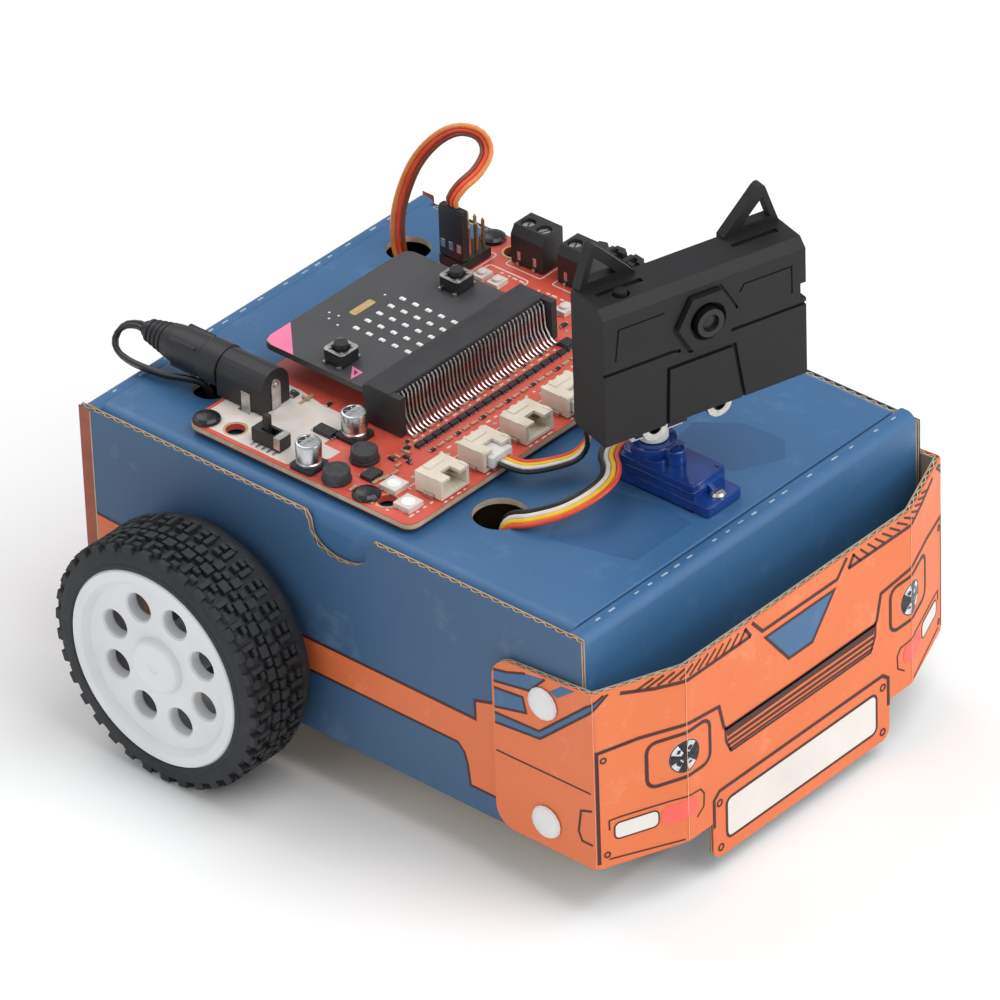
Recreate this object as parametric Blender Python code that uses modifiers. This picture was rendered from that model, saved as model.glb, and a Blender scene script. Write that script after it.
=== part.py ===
"""A two-wheeled line-following robot car with a folded carton body.

It faces -Y and stands on z = 0. Its right side is at -X. The shapes are drawn round the middle of the
carton, and a root empty moves them all so that the middle of the whole robot stands on the origin.
Every sub-part is one object with its own material. Lengths are in metres.
"""

import math

import bmesh
import bpy
from mathutils import Matrix, Vector

MM = 0.001
GAP = 0.3 * MM  # between neighbours that touch on the real robot

# Carton: a tray with rolled front and rear walls, and a lid hinged at the rear crease.
CARTON_WIDTH = 121.6 * MM
CARTON_LENGTH = 156.4 * MM
CARTON_TOP = 76.0 * MM
FLOOR_UNDERSIDE = 14.0 * MM
CARD = 1.6 * MM  # thickness of one sheet of corrugated board
ROLLED_WALL = 3.8 * MM  # front and rear walls, rolled double
CREASE_GAP = 0.4 * MM
NOTCH_Y = -4.0 * MM
NOTCH_HALF_WIDTH = 9.5 * MM
NOTCH_DEPTH = 9.0 * MM
TUCK_DEPTH = 12.0 * MM
TUCK_SETBACK = 0.8 * MM
SIDE_TAB_DEPTH = 14.0 * MM
SIDE_TAB_END_GAP = 2.2 * MM

# Holes in the lid, centre and radius.
FRONT_CABLE_HOLE = (-33.2 * MM, -30.0 * MM, 6.6 * MM)
REAR_CABLE_HOLE = (38.6 * MM, 62.8 * MM, 5.6 * MM)
BATTERY_LEAD_HOLE = (-36.5 * MM, 58.0 * MM, 4.5 * MM)

# Bumper: a folded card strip round the front, with a plate tab below its middle.
BUMPER_FLAP_REAR = -52.5 * MM
BUMPER_CORNER_Y = -83.0 * MM
BUMPER_FRONT_Y = -92.0 * MM
BUMPER_FRONT_HALF_WIDTH = 40.5 * MM
BUMPER_TOP = 64.2 * MM
BUMPER_FLAP_TOP = 62.0 * MM
BUMPER_BOTTOM = 15.2 * MM
BUMPER_CORNER_RADIUS = 5.5 * MM
PLATE_TAB_HALF_WIDTH = 32.0 * MM
PLATE_TAB_BOTTOM = 4.6 * MM
PLATE_TAB_RADIUS = 3.0 * MM
RIVET_Y = -68.2 * MM
RIVET_UPPER_Z = 55.7 * MM
RIVET_LOWER_Z = 22.5 * MM
RIVET_SHANK_RADIUS = 1.9 * MM
RIVET_HEAD_RADIUS = 4.3 * MM
RIVET_HEAD_HEIGHT = 1.5 * MM
RIVET_BARB = 1.1 * MM  # how far the spread end stands out behind the sheets
RIVET_TIP_RADIUS = 1.33 * MM
RIVET_TAIL = 3.0 * MM

# Drive: gear motors lying along the side walls, and 65 mm wheels.
AXLE_Y = 34.0 * MM
WHEEL_RADIUS = 32.5 * MM
WHEEL_WIDTH = 22.6 * MM
WHEEL_SIDE_GAP = 2.4 * MM
TYRE_THICKNESS = 6.5 * MM
RIM_LIP = 3.4 * MM
RIM_FACE_DEPTH = 2.4 * MM
RIM_WEB = 3.0 * MM
RIM_HOLES = 8
RIM_HOLE_RADIUS = 3.7 * MM
HUB_RADIUS = 6.6 * MM
HUB_LENGTH = 15.0 * MM
SHAFT_RADIUS = 2.7 * MM
SHAFT_CLEARANCE = 0.3 * MM
SHAFT_IN_HUB = 9.0 * MM
SHAFT_IN_GEARBOX = 9.0 * MM
GEARBOX_LENGTH = 37.0 * MM
GEARBOX_HEIGHT = 22.5 * MM
GEARBOX_THICKNESS = 18.8 * MM
AXLE_FROM_GEARBOX_END = 11.25 * MM
MOTOR_RADIUS = 10.0 * MM
MOTOR_FLAT = 7.7 * MM
MOTOR_LENGTH = 27.0 * MM

# Ball caster under the floor.
CASTER_Y = -43.0 * MM
BALL_RADIUS = 6.0 * MM
BALL_CLEARANCE = 0.4 * MM
CASTER_RADIUS = 9.0 * MM
CASTER_BOTTOM = 3.2 * MM
CASTER_FLANGE = (34.0 * MM, 12.0 * MM, 1.6 * MM)
PEG_X = 13.0 * MM  # of the caster's pegs and the sensor board's spacers
PEG_RADIUS = 1.7 * MM
PEG_CLEARANCE = 0.35 * MM
PEG_END = 1.6 * MM  # how far a peg stands out of what it passes through
SPACER_RADIUS = 3.2 * MM

# Line sensor board under the floor.
SENSOR_SIZE = (58.0 * MM, 17.0 * MM, 1.6 * MM)
SENSOR_Y = -69.0 * MM
SENSOR_BOARD_Z = 7.0 * MM
SENSOR_EYES = 5
SENSOR_EYE_PITCH = 11.5 * MM
SENSOR_EYE = (3.0 * MM, 2.6 * MM, 2.2 * MM)
SENSOR_EYE_FORWARD = 4.0 * MM  # from the board's middle
SENSOR_EYE_SUNK = 0.2 * MM  # into the board, as the socket is
SENSOR_SOCKET = (6.0 * MM, 9.0 * MM, 5.0 * MM)
SENSOR_SOCKET_FROM_END = 3.4 * MM
SENSOR_CORNER = 2.0 * MM
SENSOR_CABLE_HOLE = (-37.0 * MM, -66.0 * MM, 5.0 * MM)

# Battery holder: an open tray with four AA cells lying in it, side by side.
CELL_RADIUS = 7.1 * MM
CELL_LENGTH = 49.5 * MM
CELL_PITCH = 14.7 * MM
CELLS = 4
CONTACT_STRIP = (8.0 * MM, 1.0 * MM, 6.0 * MM)  # along X, Y and Z
HOLDER_WALL = 1.5 * MM
HOLDER_HEIGHT = 13.0 * MM
HOLDER_Y = -36.0 * MM

# Driver board on the lid.
BOARD_SIZE = (108.0 * MM, 70.5 * MM, 1.6 * MM)
BOARD_CENTRE = (0.5 * MM, 14.7 * MM)
BOARD_LIFT = 1.4 * MM
BOARD_CORNER = 3.0 * MM
BOARD_RIVET_INSET = 3.4 * MM
BOARD_RIVET_FRONT_INSET = 16.7 * MM
BOARD_HOLE_RADIUS = 2.4 * MM
BOARD_HOLE_INSET = 4.7 * MM
BOARD_HOLE_REAR_Y = 38.6 * MM
BOARD_HOLE_FRONT_Y = -9.2 * MM
BOARD_RIVET_HEAD = 3.5 * MM

# Parts on the driver board, as (x, y) of their centres.
CONNECTOR_SIZE = (55.4 * MM, 11.4 * MM, 10.4 * MM)
CONNECTOR_CENTRE = (0.2 * MM, 11.3 * MM)
CONNECTOR_PIN_POCKET = 3.2 * MM
CONNECTOR_END_WALL = 1.8 * MM
CONTROLLER_SIZE = (51.6 * MM, 42.0 * MM, 1.6 * MM)
CONTROLLER_IN_SLOT = 7.6 * MM
CONTROLLER_LIFT = 5.9 * MM
BUTTON_SPACING = 40.8 * MM
BUTTON_Y = 30.6 * MM
TACT_SIZE = 6.0 * MM
TACT_HEIGHT = 3.4 * MM
PLUNGER_RADIUS = 1.75 * MM
PLUNGER_RISE = 1.5 * MM
PLUNGER_DEPTH = 2.2 * MM
PLUNGER_CLEARANCE = 0.3 * MM
JACK_SIZE = (9.6 * MM, 14.4 * MM, 11.0 * MM)
JACK_CENTRE = (-36.3 * MM, 44.4 * MM)
JACK_BORE_RADIUS = 3.2 * MM
JACK_BORE_DEPTH = 10.5 * MM
PLUG_BARREL_RADIUS = 2.75 * MM
PLUG_BARREL_LENGTH = 9.5 * MM
PLUG_BODY_RADIUS = 5.0 * MM
PLUG_BODY_LENGTH = 27.0 * MM
SWITCH_SIZE = (3.8 * MM, 8.8 * MM, 3.6 * MM)
SWITCH_CENTRE = (-48.2 * MM, 27.8 * MM)
SWITCH_TRAVEL = 2.0 * MM
KNOB_SIZE = (1.6 * MM, 1.8 * MM, 5.6 * MM)
KNOB_SEAT = 1.6 * MM
PORT_SIZE = (9.6 * MM, 8.2 * MM, 5.2 * MM)
PORT_FIRST_X = -36.6 * MM
PORT_PITCH = 14.8 * MM
PORT_FRONT_Y = -19.4 * MM
PORT_WALL = 1.0 * MM
PORT_POCKET = 5.4 * MM
PLUGGED_PORTS = (2, 4)
PORT_PLUG_OUT = 1.6 * MM
TERMINAL_SIZE = (7.6 * MM, 10.0 * MM, 10.0 * MM)
TERMINAL_X = 50.0 * MM
TERMINAL_Y = (31.2 * MM, 16.4 * MM)
TERMINAL_BORE_RADIUS = 1.6 * MM
TERMINAL_SCREW_RADIUS = 1.9 * MM
TERMINAL_SCREW_DEPTH = 1.5 * MM
TERMINAL_BORE_DEPTH = 3.0 * MM
TERMINAL_CHAMFER = 1.6 * MM
HEADER_CENTRE = (39.8 * MM, 45.3 * MM)
HEADER_ROWS = 4
HEADER_PITCH = 2.54 * MM
HEADER_BASE = 2.5 * MM
HEADER_PIN = 0.64 * MM
HEADER_PIN_HEIGHT = 8.5 * MM
SERVO_PLUG_HEIGHT = 14.0 * MM

# Micro servo in the lid, and the camera head that it pans.
SERVO_SHAFT = (1.0 * MM, -47.5 * MM)
SERVO_LENGTH = 22.8 * MM
SERVO_WIDTH = 12.2 * MM
SERVO_BELOW = 15.9 * MM
SERVO_FLANGE_LENGTH = 32.2 * MM
SERVO_FLANGE = 2.5 * MM
SERVO_ABOVE = 4.2 * MM
SERVO_SHAFT_FROM_END = 5.9 * MM
SERVO_TOWER_RADIUS = 5.9 * MM
SERVO_TOWER_HEIGHT = 4.0 * MM
SERVO_GEAR_COVER_RADIUS = 2.6 * MM
SERVO_GEAR_COVER_OFFSET = 6.6 * MM
HORN_SHAFT_RADIUS = 2.3 * MM
HORN_RADIUS = 3.6 * MM
HORN_HEIGHT = 3.2 * MM
HORN_ARM = 14.0 * MM
CAMERA_YAW = math.radians(-16.5)
CAMERA_SIZE = (55.0 * MM, 13.5 * MM, 36.6 * MM)
CAMERA_SIDE_OFFSET = 3.8 * MM
CAMERA_BACK_OFFSET = -4.0 * MM  # from the pan axis to the back of the case
CAMERA_ABOVE_LID = 26.0 * MM
CAMERA_WALL = 2.0 * MM
CAMERA_CHAMFER = 2.2 * MM
CAMERA_SOCKET_X = (-18.5 * MM, -9.5 * MM)  # opening for the cable socket, from the pan axis
CAMERA_SOCKET_RISES = (4.6 * MM, 11.6 * MM)  # above the case's bottom
SOCKET_PROUD = 2.6 * MM
CAMERA_BOARD = 1.6 * MM
LUG_X = (-9.0 * MM, 8.6 * MM)
LUG_DROP = 0.8 * MM
LUG_RADIUS = 3.5 * MM
LUG_EYE_RADIUS = 1.7 * MM
SHIELD_INSET = 1.6 * MM  # round the parts on the camera board, to the case's walls
EAR_HEIGHT = 10.8 * MM
EAR_THICKNESS = 3.0 * MM
EAR_FOOT = (12.0 * MM, 27.0 * MM)  # from the case's middle, as the next three
EAR_TIP = (21.8 * MM, 23.6 * MM)
EAR_HOLE_FOOT = (17.0 * MM, 24.8 * MM)
EAR_HOLE_TIP = 22.8 * MM
EAR_HOLE_RISES = (1.8 * MM, 7.6 * MM)  # above the case
EAR_ROOT = 0.6 * MM
HEX_RADIUS = 8.0 * MM
HEX_RISE = 1.2 * MM
LENS_RADIUS = 3.6 * MM
LENS_RISE = 25.3 * MM  # above the case's bottom
LENS_GLASS_RADIUS = 1.98 * MM
LENS_PROUD = 2.4 * MM
LENS_SEAT = 1.9 * MM
BRACKET_WIDTH = 14.0 * MM
BRACKET_THICKNESS = 2.0 * MM
BRACKET_HEIGHT = 30.0 * MM
BRACKET_FOOT_BEHIND = 2.0 * MM  # of the horn's hub
BRACKET_PEG_RADIUS = 1.3 * MM
BRACKET_PEG_RISES = (6.0 * MM, 14.0 * MM)  # above the camera case's bottom
BRACKET_PEG_OUT = 1.1 * MM
CAMERA_BUTTON_RADIUS = 1.5 * MM
CAMERA_BUTTON_X = -15.6 * MM  # from the pan axis
CAMERA_BUTTON_BACK = 5.0 * MM  # from the case's front
CAMERA_BUTTON_RISE = 0.9 * MM
CAMERA_BUTTON_SEAT = 1.4 * MM

# Cords: centre lines as points chosen by hand, in millimetres.
SERVO_LEAD_RADIUS = 1.4 * MM
SERVO_LEAD = (
    (35.99, 45.3, 96.4), (36.1, 45.3, 98.4), (38.4, 44.3, 101.2), (43.0, 43.2, 103.6),
    (47.0, 43.6, 107.0), (47.2, 46.2, 110.6), (44.6, 50.8, 111.4), (42.0, 56.0, 107.4),
    (39.6, 60.6, 100.0), (37.6, 63.6, 90.0), (36.8, 64.4, 82.0), (37.0, 64.0, 75.0),
    (36.0, 60.0, 69.0), (30.0, 46.0, 65.4), (20.0, 20.0, 64.4), (10.0, -10.0, 63.8),
    (3.0, -30.0, 63.2), (1.2, -37.0, 63.0), (1.0, -40.9, 63.0),
)
BATTERY_LEAD_RADIUS = 1.5 * MM
BATTERY_LEAD = (
    (-36.3, 79.3, 84.6), (-36.5, 81.6, 84.6), (-37.8, 84.6, 83.6), (-39.8, 85.6, 81.0),
    (-41.4, 83.6, 78.9), (-42.0, 79.0, 78.0), (-41.8, 73.0, 78.0), (-41.0, 67.4, 78.2),
    (-39.2, 62.4, 78.4), (-37.4, 59.4, 77.2), (-36.6, 58.2, 73.6), (-36.0, 56.6, 66.0),
    (-33.6, 50.0, 54.0), (-27.0, 34.0, 40.0), (-18.0, 14.0, 30.0), (-13.0, 1.0, 26.0),
    (-12.0, -5.4, 23.4), (-12.0, -8.0, 23.4),
)
RIBBON_RADIUS = 1.5 * MM
CAMERA_RIBBON = (
    (-21.8, -21.3, 81.3), (-21.6, -23.2, 81.2), (-19.6, -26.0, 80.2), (-15.0, -29.2, 79.9),
    (-9.6, -32.2, 80.4), (-7.6, -34.2, 83.4), (-8.6, -36.2, 88.0), (-11.2, -37.8, 95.0),
    (-12.4, -38.6, 102.0), (-12.4, -39.6, 107.6), (-12.6, -41.6, 109.8), (-12.7, -44.2, 110.1),
)
SENSOR_RIBBON = (
    (7.8, -21.3, 81.3), (7.8, -23.6, 81.6), (7.6, -28.0, 82.0), (5.0, -33.6, 82.0),
    (1.0, -37.2, 82.4), (-4.4, -39.2, 83.0), (-8.4, -41.8, 83.6), (-11.4, -45.2, 84.0),
    (-15.4, -47.6, 83.6), (-21.6, -47.6, 82.6), (-28.2, -44.8, 80.8), (-33.2, -39.4, 78.8),
    (-34.6, -33.6, 76.2), (-35.0, -31.6, 71.0), (-37.6, -36.0, 62.0), (-41.0, -48.0, 46.0),
    (-41.0, -60.0, 30.0), (-38.6, -65.4, 20.0), (-37.2, -66.6, 13.4), (-35.4, -68.2, 10.8),
    (-31.6, -69.0, 10.4), (-29.6, -69.0, 10.4),
)

# Derived places.
HALF_WIDTH = CARTON_WIDTH / 2
HALF_LENGTH = CARTON_LENGTH / 2
INNER_HALF_WIDTH = HALF_WIDTH - CARD
INNER_HALF_LENGTH = HALF_LENGTH - ROLLED_WALL
BOARD_BOTTOM = CARTON_TOP + BOARD_LIFT
BOARD_TOP = BOARD_BOTTOM + BOARD_SIZE[2]
PART_SEAT = BOARD_TOP + GAP
AXLE_Z = WHEEL_RADIUS
RIM_RADIUS = WHEEL_RADIUS - TYRE_THICKNESS
RIM_HOLE_CIRCLE = (HUB_RADIUS + RIM_RADIUS - RIM_LIP) / 2
WHEEL_INNER_X = HALF_WIDTH + WHEEL_SIDE_GAP
SENSOR_TOP = SENSOR_BOARD_Z + SENSOR_SIZE[2]
SERVO_SEAT = CARTON_TOP + GAP
SERVO_CENTRE_Y = SERVO_SHAFT[1] + SERVO_SHAFT_FROM_END - SERVO_LENGTH / 2
SERVO_TOP = SERVO_SEAT + SERVO_FLANGE + SERVO_ABOVE
TOWER_TOP = SERVO_TOP + SERVO_TOWER_HEIGHT
HORN_BOTTOM = TOWER_TOP + GAP
BRACKET_BOTTOM = HORN_BOTTOM + HORN_HEIGHT + GAP
CAMERA_BOTTOM = CARTON_TOP + CAMERA_ABOVE_LID
CAMERA_SOCKET_Z = tuple(CAMERA_BOTTOM + rise for rise in CAMERA_SOCKET_RISES)
LENS_Z = CAMERA_BOTTOM + LENS_RISE
CONTROLLER_BOTTOM = PART_SEAT + CONTROLLER_LIFT
CONTROLLER_TOP = CONTROLLER_BOTTOM + CONTROLLER_SIZE[2]
CONTROLLER_FRONT_Y = CONNECTOR_CENTRE[1] + CONNECTOR_SIZE[1] / 2 - CONTROLLER_IN_SLOT
JACK_AXIS_Z = PART_SEAT + 5.3 * MM
SIDES = (("right", -1), ("left", 1))
WHEEL_PARTS = ("wheel_rim", "tyre", "output_shaft")
HEAD_PARTS = ("servo_horn", "camera_bracket", "camera_case", "camera_board", "camera_lens")
LID_PARTS = (
    "carton_lid", "driver_board", "board_rivet_rear_right", "board_rivet_front_right",
    "board_rivet_rear_left", "board_rivet_front_left", "edge_connector", "controller_board",
    "tact_switch_a", "tact_switch_b", "dc_jack", "dc_plug", "slide_switch_body", "port_1", "port_2",
    "port_3", "port_4", "port_plug_2", "port_plug_4", "screw_terminal_1", "screw_terminal_2",
    "servo_header", "servo_plug", "servo_body", "servo_lead", "battery_lead", "camera_ribbon",
    "sensor_ribbon",
)

assembly = None
cutters = None
root = None


def clear_scene():
    for obj in list(bpy.data.objects):
        bpy.data.objects.remove(obj, do_unlink=True)


def new_empty(name, place, parent=None):
    empty = bpy.data.objects.new(name, None)
    empty.empty_display_size = 10 * MM
    empty.location = place
    empty.parent = parent
    assembly.objects.link(empty)
    return empty


def pivot(name, place, parts, carrier):
    """Hangs parts on an empty that stands on their joint's axis. They stay where they are."""
    empty = new_empty(name, place, carrier)
    if carrier != root:
        empty.matrix_parent_inverse = Matrix.Translation(carrier.location).inverted()
    for part in parts:
        obj = bpy.data.objects[part]
        obj.parent = empty
        obj.matrix_parent_inverse = Matrix.Translation(place).inverted()
    return empty


def new_collection(name):
    collection = bpy.data.collections.new(name)
    bpy.context.scene.collection.children.link(collection)
    return collection


def material(name, color, roughness, metallic=0.0):
    found = bpy.data.materials.get(name)
    if found:
        return found
    made = bpy.data.materials.new(name)
    made.use_nodes = True
    shader = made.node_tree.nodes["Principled BSDF"]
    shader.inputs["Base Color"].default_value = (*color, 1.0)
    shader.inputs["Roughness"].default_value = roughness
    shader.inputs["Metallic"].default_value = metallic
    return made


def finish(obj, name, surface, smooth=False):
    """Names an object, gives it its material and files it with the robot's parts."""
    obj.name = name
    obj.data.name = name
    obj.data.materials.clear()
    obj.data.materials.append(surface)
    if smooth:
        obj.data.shade_smooth()
        obj.data.set_sharp_from_angle(angle=math.radians(35))
    obj.parent = root
    assembly.objects.link(obj)
    return obj


def from_bmesh(shape, name="shape"):
    bmesh.ops.recalc_face_normals(shape, faces=shape.faces)
    mesh = bpy.data.meshes.new(name)
    shape.to_mesh(mesh)
    shape.free()
    return bpy.data.objects.new(name, mesh)


def box(size, centre, bevel=0.0):
    shape = bmesh.new()
    bmesh.ops.create_cube(shape, size=1.0)
    bmesh.ops.scale(shape, vec=size, verts=shape.verts)
    if bevel:
        edges = list(shape.edges)
        bmesh.ops.bevel(shape, geom=edges, offset=bevel, segments=1, affect="EDGES", clamp_overlap=True)
    bmesh.ops.translate(shape, vec=centre, verts=shape.verts)
    return from_bmesh(shape)


def span_box(low, high, bevel=0.0):
    """A box given by its two opposite corners."""
    size = [high[i] - low[i] for i in range(3)]
    centre = [(high[i] + low[i]) / 2 for i in range(3)]
    return box(size, centre, bevel)


def turn_to(axis):
    """The rotation that takes +Z to an axis."""
    return Vector((0, 0, 1)).rotation_difference(Vector(axis)).to_matrix().to_4x4()


def cylinder(radius, length, centre, axis=(0, 0, 1), sides=24):
    shape = bmesh.new()
    bmesh.ops.create_cone(
        shape, cap_ends=True, segments=sides, radius1=radius, radius2=radius, depth=length
    )
    bmesh.ops.transform(shape, matrix=Matrix.Translation(centre) @ turn_to(axis), verts=shape.verts)
    return from_bmesh(shape)


def sphere(radius, centre, segments=20, rings=10):
    shape = bmesh.new()
    bmesh.ops.create_uvsphere(shape, u_segments=segments, v_segments=rings, radius=radius)
    bmesh.ops.translate(shape, vec=centre, verts=shape.verts)
    return from_bmesh(shape)


def as_mesh(obj, matrix):
    """The evaluated mesh of an object that isn't linked to a collection yet, moved by matrix."""
    bpy.context.scene.collection.objects.link(obj)
    graph = bpy.context.evaluated_depsgraph_get()
    mesh = bpy.data.meshes.new_from_object(obj.evaluated_get(graph))
    bpy.data.objects.remove(obj, do_unlink=True)
    shape = bmesh.new()
    shape.from_mesh(mesh)
    bmesh.ops.remove_doubles(shape, verts=shape.verts, dist=0.00001)
    bmesh.ops.transform(shape, matrix=matrix, verts=shape.verts)
    return from_bmesh(shape)


def plate(points, low, high, plane="XY"):
    """A flat outline, drawn in a plane and as thick as low to high along that plane's normal."""
    curve = bpy.data.curves.new("outline", "CURVE")
    curve.dimensions = "2D"
    curve.fill_mode = "BOTH"
    curve.extrude = (high - low) / 2
    spline = curve.splines.new("POLY")
    spline.points.add(len(points) - 1)
    for point, (u, v) in zip(spline.points, points):
        point.co = (u, v, 0, 1)
    spline.use_cyclic_u = True
    columns = {
        "XY": ((1, 0, 0), (0, 1, 0), (0, 0, 1)),
        "XZ": ((1, 0, 0), (0, 0, 1), (0, -1, 0)),
        "YZ": ((0, 1, 0), (0, 0, 1), (1, 0, 0)),
    }[plane]
    turn = Matrix(columns).transposed().to_4x4()
    middle = (low + high) / 2
    shift = Vector(columns[2]) * middle * (-1 if plane == "XZ" else 1)
    return as_mesh(bpy.data.objects.new("outline", curve), Matrix.Translation(shift) @ turn)


def turned(profile, centre, axis=(0, 0, 1), steps=20, closed=False):
    """A solid of revolution. The profile holds (radius, height) pairs, from the top down its outer side."""
    mesh = bpy.data.meshes.new("profile")
    edges = [(i, i + 1) for i in range(len(profile) - 1)]
    if closed:
        edges.append((len(profile) - 1, 0))
    mesh.from_pydata([(radius, 0, height) for radius, height in profile], edges, [])
    obj = bpy.data.objects.new("profile", mesh)
    screw = obj.modifiers.new("Screw", "SCREW")
    screw.axis = "Z"
    screw.steps = steps
    screw.render_steps = steps
    screw.use_merge_vertices = True
    screw.merge_threshold = 0.00001
    return as_mesh(obj, Matrix.Translation(centre) @ turn_to(axis))


def boolean(obj, other, operation):
    """Joins other to obj or cuts it away. The helper is kept, hidden, with the cutters."""
    cutters.objects.link(other)
    other.name = "cutter"
    other.parent = root
    other.hide_render = True
    other.display_type = "WIRE"
    modifier = obj.modifiers.new(operation.title(), "BOOLEAN")
    modifier.operation = operation
    modifier.solver = "EXACT"
    modifier.object = other
    return obj


def cut(obj, *others):
    for other in others:
        boolean(obj, other, "DIFFERENCE")
    return obj


def join(obj, *others):
    for other in others:
        boolean(obj, other, "UNION")
    return obj


def arc(centre, radius, start, end, steps=6):
    """Points round a centre, from one angle in degrees to another."""
    angles = [math.radians(start + (end - start) * i / steps) for i in range(steps + 1)]
    return [(centre[0] + radius * math.cos(a), centre[1] + radius * math.sin(a)) for a in angles]


def rounded_rectangle(low, high, radius, steps=5):
    (u0, v0), (u1, v1) = low, high
    return (
        arc((u1 - radius, v0 + radius), radius, -90, 0, steps)
        + arc((u1 - radius, v1 - radius), radius, 0, 90, steps)
        + arc((u0 + radius, v1 - radius), radius, 90, 180, steps)
        + arc((u0 + radius, v0 + radius), radius, 180, 270, steps)
    )


def through(points, spacing):
    """Points along a smooth Catmull-Rom curve through the given points, about spacing apart."""
    ends = [points[0] * 2 - points[1]] + points + [points[-1] * 2 - points[-2]]
    path = []
    for before, start, end, after in zip(ends, ends[1:], ends[2:], ends[3:]):
        steps = max(1, round((end - start).length / spacing))
        for i in range(steps):
            t = i / steps
            path.append(
                (
                    start * 2
                    + (end - before) * t
                    + (before * 2 - start * 5 + end * 4 - after) * t * t
                    + (start * 3 - before - end * 3 + after) * t * t * t
                )
                / 2
            )
    return path + [points[-1]]


def cord(name, route, radius, surface):
    """A plain tube along a route given in millimetres."""
    path = through([Vector(point) * MM for point in route], radius * 5)
    curve = bpy.data.curves.new(name, "CURVE")
    curve.dimensions = "3D"
    curve.bevel_depth = radius
    curve.bevel_resolution = 2
    curve.use_fill_caps = True
    spline = curve.splines.new("POLY")
    spline.points.add(len(path) - 1)
    for point, place in zip(spline.points, path):
        point.co = (*place, 1)
    return finish(bpy.data.objects.new(name, curve), name, surface)


# Carton


def rivet_places():
    for side, sign in SIDES:
        for level, height in (("upper", RIVET_UPPER_Z), ("lower", RIVET_LOWER_Z)):
            yield f"bumper_rivet_{side}_{level}", sign, height


def board_rivet_places():
    (width, length, _), (x, y) = BOARD_SIZE, BOARD_CENTRE
    right, left = x - width / 2 + BOARD_RIVET_INSET, x + width / 2 - BOARD_RIVET_INSET
    rear, front = y + length / 2 - BOARD_RIVET_INSET, y - length / 2 + BOARD_RIVET_FRONT_INSET
    return {
        "board_rivet_rear_right": (right, rear),
        "board_rivet_front_right": (right, front),
        "board_rivet_rear_left": (left, rear),
        "board_rivet_front_left": (left, front),
    }


def carton_tray(blue):
    top = CARTON_TOP - GAP
    tray = span_box((-HALF_WIDTH, -HALF_LENGTH, FLOOR_UNDERSIDE), (HALF_WIDTH, HALF_LENGTH, top))
    inside = span_box(
        (-INNER_HALF_WIDTH, -INNER_HALF_LENGTH, FLOOR_UNDERSIDE + CARD),
        (INNER_HALF_WIDTH, INNER_HALF_LENGTH, top + CARD),
    )
    cut(tray, inside)
    notch = [(NOTCH_Y - NOTCH_HALF_WIDTH, top + CARD), (NOTCH_Y - NOTCH_HALF_WIDTH, top)]
    notch += [
        (NOTCH_Y + NOTCH_HALF_WIDTH * math.cos(a), top - NOTCH_DEPTH * math.sin(-a))
        for a in (math.radians(180 + 15 * i) for i in range(1, 12))
    ]
    notch += [(NOTCH_Y + NOTCH_HALF_WIDTH, top), (NOTCH_Y + NOTCH_HALF_WIDTH, top + CARD)]
    cut(tray, plate(notch, -HALF_WIDTH - CARD, -INNER_HALF_WIDTH + CARD, "YZ"))
    cut(tray, plate(notch, INNER_HALF_WIDTH - CARD, HALF_WIDTH + CARD, "YZ"))
    bore = SHAFT_RADIUS + 2 * SHAFT_CLEARANCE
    cut(tray, cylinder(bore, CARTON_WIDTH * 1.2, (0, AXLE_Y, AXLE_Z), (1, 0, 0), 16))
    hole = RIVET_SHANK_RADIUS + GAP
    for height in (RIVET_UPPER_Z, RIVET_LOWER_Z):
        cut(tray, cylinder(hole, CARTON_WIDTH * 1.2, (0, RIVET_Y, height), (1, 0, 0), 16))
    floor_middle = FLOOR_UNDERSIDE + CARD / 2
    peg_hole = PEG_RADIUS + PEG_CLEARANCE
    for x in (-PEG_X, PEG_X):
        cut(tray, cylinder(peg_hole, 3 * CARD, (x, CASTER_Y, floor_middle), sides=16))
        cut(tray, cylinder(peg_hole, 3 * CARD, (x, SENSOR_Y, floor_middle), sides=16))
    x, y, radius = SENSOR_CABLE_HOLE
    cut(tray, cylinder(radius, 3 * CARD, (x, y, floor_middle), sides=20))
    return finish(tray, "carton_tray", blue)


def carton_lid(blue):
    front, rear = -INNER_HALF_LENGTH + CREASE_GAP, INNER_HALF_LENGTH - CREASE_GAP
    side = INNER_HALF_WIDTH - GAP
    under = CARTON_TOP - CARD
    lid = span_box((-side, front, under), (side, rear, CARTON_TOP))
    tuck_y = front + TUCK_SETBACK
    tuck_side = side - CARD - 3 * GAP
    tuck = span_box(
        (-tuck_side, tuck_y, under - TUCK_DEPTH), (tuck_side, tuck_y + CARD, CARTON_TOP - CARD / 2)
    )
    join(lid, tuck)
    for sign in (-1, 1):
        outer, inner = sign * side, sign * (side - CARD)
        tab = span_box(
            (min(outer, inner), front + SIDE_TAB_END_GAP, under - SIDE_TAB_DEPTH),
            (max(outer, inner), rear - SIDE_TAB_END_GAP, CARTON_TOP - CARD / 2),
        )
        join(lid, tab)
    middle = CARTON_TOP - CARD / 2
    for x, y, radius in (FRONT_CABLE_HOLE, REAR_CABLE_HOLE, BATTERY_LEAD_HOLE):
        cut(lid, cylinder(radius, 3 * CARD, (x, y, middle), sides=20))
    for x, y in board_rivet_places().values():
        cut(lid, cylinder(RIVET_SHANK_RADIUS + GAP, 3 * CARD, (x, y, middle), sides=16))
    slot = (SERVO_WIDTH + 2 * GAP, SERVO_LENGTH + 2 * GAP, 3 * CARD)
    cut(lid, box(slot, (SERVO_SHAFT[0], SERVO_CENTRE_Y, middle)))
    return finish(lid, "carton_lid", blue)


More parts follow.
